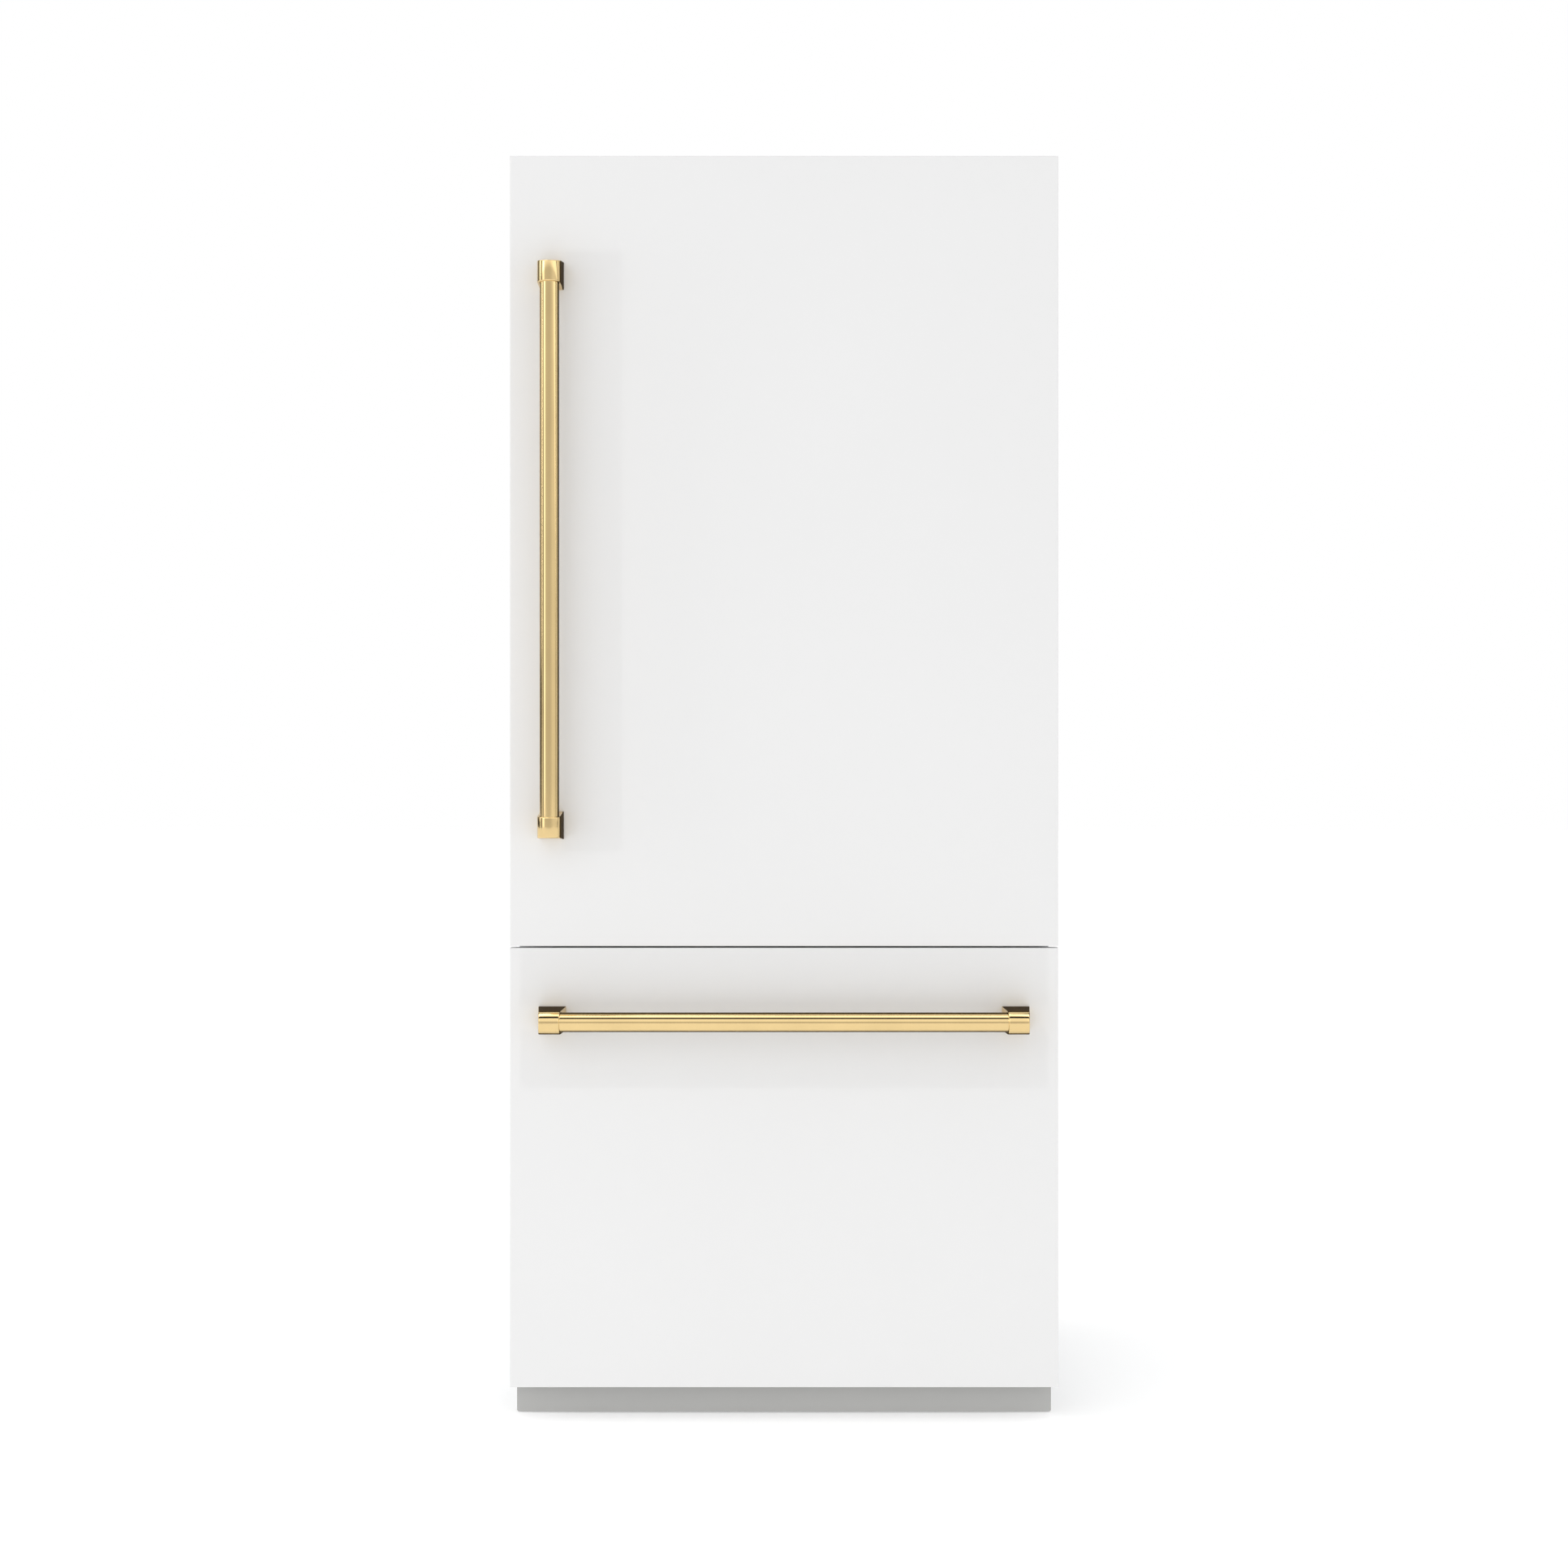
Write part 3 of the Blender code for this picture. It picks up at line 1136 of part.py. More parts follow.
def air_duct_cover():
    """The cold-air duct up the fresh-food compartment's rear wall, with pairs of slots."""
    z0 = CRISPER_LEDGE_Z + DUCT_FOOT
    z1 = FRIDGE_Z1 - DUCT_TOP
    low = (-DUCT_W / 2, FRIDGE_BACK - DUCT_T, z0)
    high = (DUCT_W / 2, FRIDGE_BACK - GAP, z1)
    obj = pan("air_duct_cover", low, high, (0, 1, 0), LINER_T, DUCT_ROUND, "white_plastic")
    slots = bmesh.new()
    for i in range(SHELF_COUNT + 1):
        z = CRISPER_LEDGE_Z + SHELF_PITCH * (i + DUCT_SLOT_SHARE)
        for side in (-1, 1):
            x = side * DUCT_SLOT_X - DUCT_SLOT_W / 2
            low = (x, FRIDGE_BACK - DUCT_T - LINER_T, z)
            add_box(slots, low, (x + DUCT_SLOT_W, FRIDGE_BACK - DUCT_T / 2, z + DUCT_SLOT_H))
    cut(obj, "slots", slots)


def control_housing():
    """The control and lamp housing under the ceiling, with two push buttons in its front."""
    y0 = CAB_Y0 + HOUSING_FRONT
    low = (-HOUSING_W / 2, y0, FRIDGE_Z1 - HOUSING_H)
    high = (HOUSING_W / 2, y0 + HOUSING_D, FRIDGE_Z1 - GAP)
    obj = pan("control_housing", low, high, (0, 0, 1), LINER_T, HOUSING_ROUND, "white_plastic")
    z = FRIDGE_Z1 - HOUSING_H / 2
    half_w = BUTTON_W / 2
    half_h = BUTTON_H / 2
    holes = bmesh.new()
    reach = BUTTON_CLEARANCE
    for side, name in ((-1, "fridge"), (1, "freezer")):
        x = side * BUTTON_X
        low = (x - half_w - reach, y0 - LINER_T, z - half_h - reach)
        add_box(holes, low, (x + half_w + reach, y0 + 2 * LINER_T, z + half_h + reach))
        cap_back = y0 + LINER_T + GAP + BUTTON_TRAVEL
        cap = box((x - half_w, y0 - BUTTON_TRAVEL, z - half_h), (x + half_w, cap_back, z + half_h))
        button = make(f"button_{name}", cap, "black_plastic", (x, y0, z))
        lip = BUTTON_LIP
        low = (x - half_w - lip, y0 + LINER_T + GAP, z - half_h - lip)
        flange = box(low, (x + half_w + lip, cap_back + lip, z + half_h + lip))
        join(button, "flange", flange)
    cut(obj, "button_holes", holes)


def main():
    cabinet()
    cabinet_foam()
    liners()
    base_tray()
    feet_and_rollers()
    toe_kick()
    bay_cover()
    compressor()
    coils()
    evaporator_cover()
    fans()
    hinges()
    shelves()
    crispers()
    air_duct_cover()
    control_housing()
    door()
    door_liner()
    door_bins()
    dairy_lid()
    door_handle()
    drawer()
    drawer_handle()
    slides()
    freezer_trays()
    hang_moving_bodies()


def hang_moving_bodies():
    """Hangs the door on its hinge axis, and the drawer and the slides' middle members on their runs."""
    door_middle = (HINGE_X, HINGE_Y, (DOOR_Z0 + DOOR_Z1) / 2)
    drawer_middle = (0, CORE_BACK, SLIDE_CENTRE)
    slide_start = (0, SHELL_Y0 + SLIDE_FRONT, SLIDE_CENTRE)
    groups = (
        ("door_axis", door_middle, ("door_", "dairy_", "bottle_")),
        ("drawer_run", drawer_middle, ("drawer_", "freezer_basket", "freezer_tray", "slide_inner")),
        ("slide_middles_run", slide_start, ("slide_middle",)),
    )
    for name, place, starts in groups:
        mount(name, place, [piece for piece in PARTS.objects if piece.name.startswith(starts)])


clear_scene()
PARTS = new_collection("built_in_refrigerator")
CUTTERS = new_collection("cutters")
CUTTERS.hide_render = True
main()
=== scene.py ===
"""Looks of a built-in refrigerator: one door over one freezer drawer.

Run it as a script. It loads the engineered model as a fixed frame, replaces the pieces that need
finer shapes with surfaces worked out on grids, and gives every piece its finish. Metres, +Z up,
front at -Y.
"""

import math

import bmesh
import bpy
import numpy as np
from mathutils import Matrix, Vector


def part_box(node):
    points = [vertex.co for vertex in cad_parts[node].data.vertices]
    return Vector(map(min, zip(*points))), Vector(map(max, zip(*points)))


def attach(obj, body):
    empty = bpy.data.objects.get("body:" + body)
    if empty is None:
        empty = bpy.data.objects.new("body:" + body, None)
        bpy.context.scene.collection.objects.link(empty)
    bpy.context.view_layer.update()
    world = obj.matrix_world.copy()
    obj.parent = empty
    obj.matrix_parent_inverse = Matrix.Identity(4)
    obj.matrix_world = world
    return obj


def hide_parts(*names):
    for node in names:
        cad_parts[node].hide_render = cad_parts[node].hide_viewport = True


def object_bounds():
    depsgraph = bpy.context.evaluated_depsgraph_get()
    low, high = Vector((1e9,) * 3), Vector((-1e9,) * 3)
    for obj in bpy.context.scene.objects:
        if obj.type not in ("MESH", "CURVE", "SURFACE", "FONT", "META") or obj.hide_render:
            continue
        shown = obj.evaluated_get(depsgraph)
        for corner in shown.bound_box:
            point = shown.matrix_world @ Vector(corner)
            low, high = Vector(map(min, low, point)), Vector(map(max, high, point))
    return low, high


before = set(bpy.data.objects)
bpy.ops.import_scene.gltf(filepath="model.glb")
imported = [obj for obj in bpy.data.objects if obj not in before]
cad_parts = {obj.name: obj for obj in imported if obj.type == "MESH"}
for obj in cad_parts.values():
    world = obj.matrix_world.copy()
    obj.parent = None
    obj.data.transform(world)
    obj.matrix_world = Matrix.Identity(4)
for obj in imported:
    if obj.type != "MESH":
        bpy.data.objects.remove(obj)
CAD_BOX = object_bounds()

bl_info = {
    "name": "Built-in Refrigerator",
    "version": (1, 0, 0),
    "blender": (4, 5, 0),
    "location": "3D View > Sidebar > Refrigerator",
    "description": "Builds the pieces, finishes and studio of a built-in refrigerator",
    "category": "Object",
}

SHEET = 0.0012
FIT = 0.0003
LINER_WALL = 0.0025
LEDGE_WIDTH = 0.010
LEDGE_HEIGHT = 0.006
SEAL_WIDTH = 0.020
GRIP_REACH = 0.012
RIB_COUNT = 5
RIB_MARGIN = 0.070
RIB_HALF_WIDTH = 0.030
RIB_SLOPE = 0.006

# Section of each tray: wall, corner radius, lean of the wall, radius at the floor and width of the rim.
BIN_SECTION = (0.002, 0.014, 0.003, 0.008, 0.004)
CRISPER_SECTION = (0.0025, 0.014, 0.004, 0.006, 0.0)
BASKET_SECTION = (0.0025, 0.025, 0.008, 0.014, 0.014)
FREEZER_TRAY_SECTION = (0.0025, 0.020, 0.006, 0.010, 0.0)


# Grids, rings and meshes.


def rounded_rectangle(half_w, half_h, corner, steps=6):
    """Points of a rectangle with quarter-circle corners, anticlockwise about the origin.

    Each corner's centre lies one corner radius inside, and steps + 1 points turn a right angle.
    """
    corner = max(corner, 1e-5)
    quarter = np.repeat(np.arange(4), steps + 1) * np.pi / 2
    angle = quarter + np.tile(np.linspace(0, np.pi / 2, steps + 1), 4)
    centre_u = (half_w - corner) * np.sign(np.cos(quarter + np.pi / 4))
    centre_v = (half_h - corner) * np.sign(np.sin(quarter + np.pi / 4))
    return np.stack([centre_u + corner * np.cos(angle), centre_v + corner * np.sin(angle)], -1)


def spread(flat, level, axis, centre=(0, 0)):
    """Flat points (u, v) at a level along a world axis, as points in space.

    (u, v) is (x, y) for axis z, (x, z) for axis y and (y, z) for axis x, moved by the centre.
    """
    flat = np.asarray(flat, float)
    u = flat[..., 0] + centre[0]
    v = flat[..., 1] + centre[1]
    w = np.broadcast_to(level, u.shape)
    order = {"z": (u, v, w), "y": (u, w, v), "x": (w, u, v)}[axis]
    return np.stack(order, -1)


def lattice(rings, closed=False, caps=True):
    """Quads between each ring and the next, with the rings' own ends joined.

    closed joins the last ring to the first, and caps fills the first and the last ring.
    """
    rings = np.asarray(rings, float)
    rows, columns = rings.shape[:2]
    index = np.arange(rows * columns).reshape(rows, columns)
    if closed:
        index = np.vstack([index, index[:1]])
    round_index = np.hstack([index, index[:, :1]])
    corners = (round_index[:-1, :-1], round_index[:-1, 1:], round_index[1:, 1:], round_index[1:, :-1])
    faces = np.stack(corners, -1).reshape(-1, 4).tolist()
    if caps and not closed:
        faces += [index[0][::-1].tolist(), index[-1].tolist()]
    return rings.reshape(-1, 3), faces


def box_rings(low, high, axis, profile, corner, steps=6):
    """A lattice over a box seen along an axis: ring k is the box's rectangle moved in by inset k.

    The profile lists (inset, level), and a negative inset moves outwards. The corner radius falls
    with the inset, so the rings stay parallel.
    """
    places = {"x": (1, 2), "y": (0, 2), "z": (0, 1)}[axis]
    half = [(high[i] - low[i]) / 2 for i in places]
    centre = [(high[i] + low[i]) / 2 for i in places]
    rings = []
    for inset, level in profile:
        flat = rounded_rectangle(half[0] - inset, half[1] - inset, max(corner - inset, 0.0004), steps)
        rings.append(spread(flat, level, axis, centre))
    return np.array(rings)


def block(low, high, rounding, axis="z", steps=4):
    """A box with all its edges rounded: the profile is a quarter circle in, a side and one out."""
    i = "xyz".index(axis)
    turn = np.linspace(0, np.pi / 2, steps + 1)
    inset = rounding * (1 - np.sin(turn))
    rise = rounding * (1 - np.cos(turn))
    profile = list(zip(inset, low[i] + rise)) + list(zip(inset[::-1], high[i] - rise[::-1]))
    return lattice(box_rings(low, high, axis, profile, rounding * 1.5, steps))


def turned(profile, centre, axis, steps=96, closed=False):
    """A surface of revolution: each profile point (radius, height) turns about the axis."""
    angle = np.linspace(0, 2 * np.pi, steps, endpoint=False)
    profile = np.asarray(profile, float)
    flat = profile[:, :1, None] * np.stack([np.cos(angle), np.sin(angle)], -1)[None]
    i = "xyz".index(axis)
    others = [centre[j] for j in range(3) if j != i]
    level = np.repeat(profile[:, 1:2] + centre[i], steps, 1)
    return lattice(spread(flat, level, axis, others), closed)


def tube(path, radius, steps=16):
    """A round tube: a circle carried along a path, in the plane across the path at each point."""
    path = np.asarray(path, float)
    along = np.gradient(path, axis=0)
    along /= np.linalg.norm(along, axis=1, keepdims=True)
    side = np.cross(along, (0.31, 0.17, 0.94))
    side /= np.linalg.norm(side, axis=1, keepdims=True)
    other = np.cross(along, side)
    angle = np.linspace(0, 2 * np.pi, steps, endpoint=False)[None, :, None]
    return lattice(path[:, None] + radius * (side[:, None] * np.cos(angle) + other[:, None] * np.sin(angle)))


def smooth_loop(points, between=4):
    """A closed curve through the points: cubic pieces whose slope at a point is that of its neighbours."""
    p = np.asarray(points, float)
    before = np.roll(p, 1, 0)
    after = np.roll(p, -1, 0)
    later = np.roll(p, -2, 0)
    t = np.linspace(0, 1, between, endpoint=False)[:, None, None]
    cubic = (
        2 * p
        + (after - before) * t
        + (2 * before - 5 * p + 4 * after - later) * t**2
        + (3 * p - before - 3 * after + later) * t**3
    ) / 2
    return cubic.transpose(1, 0, 2).reshape(-1, p.shape[1])


def smooth_line(points, between=6):
    """An open curve through the points, by the same cubic pieces."""
    p = np.asarray(points, float)
    padded = np.vstack([2 * p[0] - p[1], p, 2 * p[-1] - p[-2]])
    t = np.linspace(0, 1, between, endpoint=False)[:, None, None]
    a, b, c, d = padded[:-3], padded[1:-2], padded[2:-1], padded[3:]
    cubic = (2 * b + (c - a) * t + (2 * a - 5 * b + 4 * c - d) * t**2 + (3 * b - a - 3 * c + d) * t**3) / 2
    return np.vstack([cubic.transpose(1, 0, 2).reshape(-1, 3), p[-1:]])


def gather(parts):
    """Several (points, faces) as one."""
    points, faces, start = [], [], 0
    for part_points, part_faces in parts:
        points.append(part_points)
        faces += [[i + start for i in face] for face in part_faces]
        start += len(part_points)
    return np.vstack(points), faces


def piece(name, parts, finish, body, stands_for=(), angle=38):
    """Makes a named piece of the parts, with its finish, riding on a CAD body."""
    points, faces = gather(parts)
    mesh = bpy.data.meshes.new(name)
    mesh.from_pydata(points.tolist(), [], faces)
    work = bmesh.new()
    work.from_mesh(mesh)
    bmesh.ops.remove_doubles(work, verts=work.verts, dist=1e-6)
    bmesh.ops.recalc_face_normals(work, faces=work.faces)
    work.to_mesh(mesh)
    work.free()
    mesh.shade_smooth()
    mesh.set_sharp_from_angle(angle=math.radians(angle))
    mesh.materials.append(finish)
    obj = bpy.data.objects.new(name, mesh)
    bpy.context.scene.collection.objects.link(obj)
    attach(obj, body)
    if stands_for:
        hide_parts(*stands_for)
    return obj


def soften(names, width, segments=2):
    """Rounds the edges of CAD nodes: their loose triangles are welded, then each sharp edge is cut."""
    for name in names:
        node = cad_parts[name]
        weld = node.modifiers.new("weld", "WELD")
        weld.merge_threshold = 0.00001
        bevel = node.modifiers.new("edges", "BEVEL")
        bevel.width = width
        bevel.segments = segments
        bevel.limit_method = "ANGLE"
        bevel.angle_limit = math.radians(40)
        bevel.use_clamp_overlap = True
        weighted = node.modifiers.new("shading", "WEIGHTED_NORMAL")
        weighted.weight = 100
        node.data.shade_smooth()


def paint_nodes(names, finish):
    """Gives CAD nodes their finish."""
    for name in names:
        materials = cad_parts[name].data.materials
        materials.clear()
        materials.append(finish)


def corners(name):
    """The lowest and highest corners of a CAD node, as arrays."""
    low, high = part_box(name)
    return np.array(low), np.array(high)


# Finishes.


def linear(code):
    """Linear red, green and blue of an sRGB colour written as six hexadecimal digits."""
    values = [int(code[i : i + 2], 16) / 255 for i in (0, 2, 4)]
    return tuple(v / 12.92 if v <= 0.04045 else ((v + 0.055) / 1.055) ** 2.4 for v in values)


def add_node(tree, kind, inputs=None, **settings):
    """Adds a shader node, sets its settings, and sets or links its inputs."""
    made = tree.nodes.new(kind)
    for key, value in settings.items():
        setattr(made, key, value)
    for key, value in (inputs or {}).items():
        if isinstance(value, bpy.types.NodeSocket):
            tree.links.new(value, made.inputs[key])
        else:
            made.inputs[key].default_value = value
    return made


def start_finish(name, colour, roughness, metallic=0.0, **sockets):
    """A material with a Principled shader whose plain values are set on its own sockets."""
    material = bpy.data.materials.new(name)
    material.use_nodes = True
    tree = material.node_tree
    shader = tree.nodes["Principled BSDF"]
    shader.inputs["Base Color"].default_value = (*colour, 1)
    shader.inputs["Roughness"].default_value = roughness
    shader.inputs["Metallic"].default_value = metallic
    for key, value in sockets.items():
        shader.inputs[key.replace("_", " ")].default_value = value
    material.diffuse_color = (*colour, 1)
    place = add_node(tree, "ShaderNodeTexCoord").outputs["Object"]
    return material, tree, shader, place


def noise(tree, place, size, detail=2.0, stretch=None):
    """Noise whose features are about size metres, optionally stretched along the axes."""
    if stretch:
        place = add_node(tree, "ShaderNodeMapping", {"Vector": place, "Scale": stretch}).outputs["Vector"]
    return add_node(tree, "ShaderNodeTexNoise", {"Vector": place, "Scale": 1 / size, "Detail": detail})


def relief(tree, shader, height, depth):
    """Bump of a given depth in metres from a height that runs from 0 to 1."""
    bump = add_node(tree, "ShaderNodeBump", {"Height": height, "Strength": 1.0, "Distance": depth})
    tree.links.new(bump.outputs["Normal"], shader.inputs["Normal"])


def vary_roughness(tree, shader, height, low, high):
    span = add_node(tree, "ShaderNodeMapRange", {"Value": height, "To Min": low, "To Max": high})
    tree.links.new(span.outputs["Result"], shader.inputs["Roughness"])


def vary_colour(tree, shader, height, dark, light):
    """Base colour that runs between two near colours with the height."""
    ramp = add_node(tree, "ShaderNodeValToRGB", {"Fac": height})
    ramp.color_ramp.elements[0].position = 0.3
    ramp.color_ramp.elements[0].color = (*dark, 1)
    ramp.color_ramp.elements[1].position = 0.7
    ramp.color_ramp.elements[1].color = (*light, 1)
    tree.links.new(ramp.outputs["Color"], shader.inputs["Base Color"])


def shade(colour, factor):
    return tuple(min(c * factor, 1.0) for c in colour)


def paint(name, colour, roughness, grain, depth, drift=0.012):
    """Sprayed paint: fine orange peel over a very slow drift of tone. IOR 1.5, as acrylic enamel."""
    material, tree, shader, place = start_finish(name, colour, roughness, IOR=1.5)
    peel = noise(tree, place, grain, 2.0).outputs["Fac"]
    slow = noise(tree, place, 0.35, 1.0).outputs["Fac"]
    relief(tree, shader, peel, depth)
    vary_roughness(tree, shader, peel, roughness - 0.04, roughness + 0.05)
    vary_colour(tree, shader, slow, shade(colour, 1 - drift), shade(colour, 1 + drift))
    return material


def polished_metal(name, colour, roughness, along, drift=0.03):
    """Lacquered metal: hairline polishing marks along one axis and faint clouding.

    The marks are noise stretched forty times along the axis, a third of a millimetre apart.
    """
    material, tree, shader, place = start_finish(name, colour, roughness, 1.0)
    stretch = {"x": (0.025, 1, 1), "y": (1, 0.025, 1), "z": (1, 1, 0.025)}[along]
    marks = noise(tree, place, 0.00035, 3.0, stretch).outputs["Fac"]
    cloud = noise(tree, place, 0.06, 2.0).outputs["Fac"]
    relief(tree, shader, marks, 0.0000002)
    vary_roughness(tree, shader, marks, roughness * 0.7, roughness * 1.4)
    vary_colour(tree, shader, cloud, shade(colour, 1 - drift), shade(colour, 1 + drift))
    return material


def zinc_steel(name, colour):
    """Galvanised sheet: spangle crystals 8 mm across, each with its own tone and gloss."""
    material, tree, shader, place = start_finish(name, colour, 0.42, 1.0)
    warped = noise(tree, place, 0.02, 2.0).outputs["Color"]
    bend = add_node(tree, "ShaderNodeMix", {"Factor": 0.012, "A": place, "B": warped}, data_type="VECTOR")
    cells = add_node(tree, "ShaderNodeTexVoronoi", {"Vector": bend.outputs["Result"], "Scale": 120.0})
    tone = add_node(tree, "ShaderNodeSeparateColor", {"Color": cells.outputs["Color"]}).outputs["Red"]
    vary_colour(tree, shader, tone, shade(colour, 0.82), shade(colour, 1.1))
    vary_roughness(tree, shader, tone, 0.34, 0.52)
    relief(tree, shader, noise(tree, place, 0.0012).outputs["Fac"], 0.000006)
    return material


def moulded_plastic(name, colour, roughness, grain=0.0009, depth=0.00001, **sockets):
    """Moulded plastic: a fine spark-eroded grain and uneven gloss. IOR 1.55, as styrene."""
    material, tree, shader, place = start_finish(name, colour, roughness, IOR=1.55, **sockets)
    fine = noise(tree, place, grain, 3.0).outputs["Fac"]
    slow = noise(tree, place, 0.08, 2.0).outputs["Fac"]
    relief(tree, shader, fine, depth)
    vary_roughness(tree, shader, slow, roughness - 0.05, roughness + 0.07)
    vary_colour(tree, shader, slow, shade(colour, 0.985), shade(colour, 1.01))
    return material


def clear_sheet(name, colour, roughness, ior, haze):
    """Clear glass or plastic with slight haze in patches."""
    material, tree, shader, place = start_finish(
        name, colour, roughness, IOR=ior, Transmission_Weight=0.94
    )
    cloud = noise(tree, place, 0.05, 3.0).outputs["Fac"]
    vary_roughness(tree, shader, cloud, roughness, roughness + haze)
    relief(tree, shader, noise(tree, place, 0.03, 1.0).outputs["Fac"], 0.00002)
    return material


def rubber(name, colour):
    """Extruded seal vinyl: matt, with drag lines and a little dust in the folds."""
    material, tree, shader, place = start_finish(name, colour, 0.6, IOR=1.53)
    lines = noise(tree, place, 0.0011, 3.0, (1, 0.06, 1)).outputs["Fac"]
    dust = noise(tree, place, 0.012, 4.0).outputs["Fac"]
    relief(tree, shader, lines, 0.00003)
    vary_roughness(tree, shader, dust, 0.5, 0.72)
    vary_colour(tree, shader, dust, shade(colour, 0.94), shade(colour, 1.02))
    return material


def foam(name, colour):
    """Rigid foam: open cells a millimetre across on its cut skin."""
    material, tree, shader, place = start_finish(name, colour, 0.9)
    cells = add_node(tree, "ShaderNodeTexVoronoi", {"Vector": place, "Scale": 900.0})
    relief(tree, shader, cells.outputs["Distance"], 0.0005)
    slow = noise(tree, place, 0.05, 3.0).outputs["Fac"]
    vary_colour(tree, shader, slow, shade(colour, 0.86), shade(colour, 1.05))
    return material


def lamp_diffuser(name, colour):
    """A lit opal cover: light from inside, through a frosted face with a fine grain."""
    material, tree, shader, place = start_finish(name, colour, 0.5, IOR=1.5)
    shader.inputs["Emission Color"].default_value = (*colour, 1)
    shader.inputs["Emission Strength"].default_value = 3.0
    relief(tree, shader, noise(tree, place, 0.0008).outputs["Fac"], 0.00002)
    return material


def colour_setting(name, description, code):
    """A colour property whose default is an sRGB colour in hexadecimal, kept as linear values."""
    return bpy.props.FloatVectorProperty(
        name=name, description=description, subtype="COLOR", size=3, default=linear(code), min=0, max=1
    )


def length_setting(name, description, default):
    return bpy.props.FloatProperty(name=name, description=description, default=default, unit="LENGTH")


class RefrigeratorFinishes(bpy.types.PropertyGroup):
    """Colours of the refrigerator's finishes, as linear values."""

    panel: colour_setting("Panels", "Door and drawer panel paint", "EDEDED")
    brass: colour_setting("Handles", "Polished brass of the handles", "E0C58F")
    plinth: colour_setting("Plinth", "Powder coat of the plinth plate", "B9B9B7")
    shell: colour_setting("Cabinet", "Paint of the cabinet's sides and top", "B4B6B8")
    zinc: colour_setting("Bare steel", "Galvanised steel of the back, slides and hinges", "B8BCBE")
    liner: colour_setting("Liners", "White plastic inside", "F2F4F3")
    seal: colour_setting("Seals", "Door and drawer seals", "CFCFCC")


class RefrigeratorSizes(bpy.types.PropertyGroup):
    """Sizes of the details that the engineered model leaves out."""

    panel_round: length_setting("Panel edge", "Radius of the panels' front edges", 0.0014)
    bracket_round: length_setting("Bracket edge", "Radius of the handle brackets' ends", 0.0017)
    bracket_taper: bpy.props.FloatProperty(
        name="Bracket taper", description="Front length over base length", default=0.726, min=0.3, max=1
    )
    socket_depth: length_setting("Socket depth", "How far a bar goes into its bracket", 0.012)
    bar_bore: length_setting("Bar bore", "Inner radius of the handle tubes", 0.0135)
    rib_depth: length_setting("Rib depth", "Depth of the ribs pressed in the back panel", 0.0009)
    screw_head: length_setting("Screw head", "Radius of a screw's head", 0.0042)
    liner_corner: length_setting("Liner corner", "Radius of the fresh-food liner's corners", 0.014)


FINISH = {}


def make_finishes(colours):
    """Makes every material once, by the name of its finish."""
    FINISH.update(
        panel=paint("white_panel_paint", tuple(colours.panel), 0.46, 0.0016, 0.000012, 0.004),
        bar_z=polished_metal("brass_drawn_upright", tuple(colours.brass), 0.07, "z"),
        bar_x=polished_metal("brass_drawn_level", tuple(colours.brass), 0.07, "x"),
        bracket=polished_metal("brass_cast_polished", tuple(colours.brass), 0.09, "y"),
        plinth=paint("plinth_powder_coat", tuple(colours.plinth), 0.5, 0.0009, 0.00002),
        shell=paint("cabinet_paint", tuple(colours.shell), 0.42, 0.0012, 0.000014),
        # The cores' charcoal is painted shade: it darkens the gap between the door and drawer panels.
        core=paint("core_paint", linear("3B3D40"), 0.5, 0.0012, 0.000014),
        zinc=zinc_steel("galvanised_steel", tuple(colours.zinc)),
        screw=polished_metal("zinc_plated_screw", linear("C6C9CC"), 0.24, "y"),
        foam=foam("rigid_foam", linear("E3D5A6")),
        liner=moulded_plastic("liner_styrene", tuple(colours.liner), 0.32),
        clear=clear_sheet("clear_crisper_plastic", linear("EAF2F4"), 0.04, 1.57, 0.05),
        glass=clear_sheet("shelf_float_glass", linear("DDF0E8"), 0.01, 1.52, 0.02),
        seal=rubber("seal_vinyl", tuple(colours.seal)),
        enamel=paint("compressor_enamel", linear("17181B"), 0.34, 0.0014, 0.00002),
        nylon=moulded_plastic("black_nylon", linear("1E1F22"), 0.46),
        tyre=rubber("roller_tyre", linear("2A2A2C")),
        copper=polished_metal("copper_tube", linear("B87048"), 0.28, "x", 0.12),
        aluminium=polished_metal("mill_aluminium", linear("D2D5D8"), 0.3, "x"),
        trim=polished_metal("satin_trim", linear("DADCDE"), 0.26, "x"),
        lamp=lamp_diffuser("lamp_opal", linear("FFF6E6")),
    )


# Shapes of the pieces.


def panel_shape(name, rounding):
    """A folded panel: rings of its rectangle that follow its section.

    The section is a flat face, a quarter circle at the edge, a side, a folded rim and the inner side.
    """
    low, high = corners(name)
    turn = np.linspace(0, np.pi / 2, 7)
    wall = SHEET
    hem = 0.0003
    front = low[1]
    back = high[1]
    profile = [(0.005, front)]
    profile += list(zip(rounding * (1 - np.sin(turn)), front + rounding * (1 - np.cos(turn))))
    profile += [(0, back - hem), (hem, back), (wall - hem, back), (wall, back - hem)]
    profile += [(wall, front + wall + hem), (wall + hem, front + wall), (0.005, front + wall)]
    return lattice(box_rings(low, high, "y", profile, 0.0008))


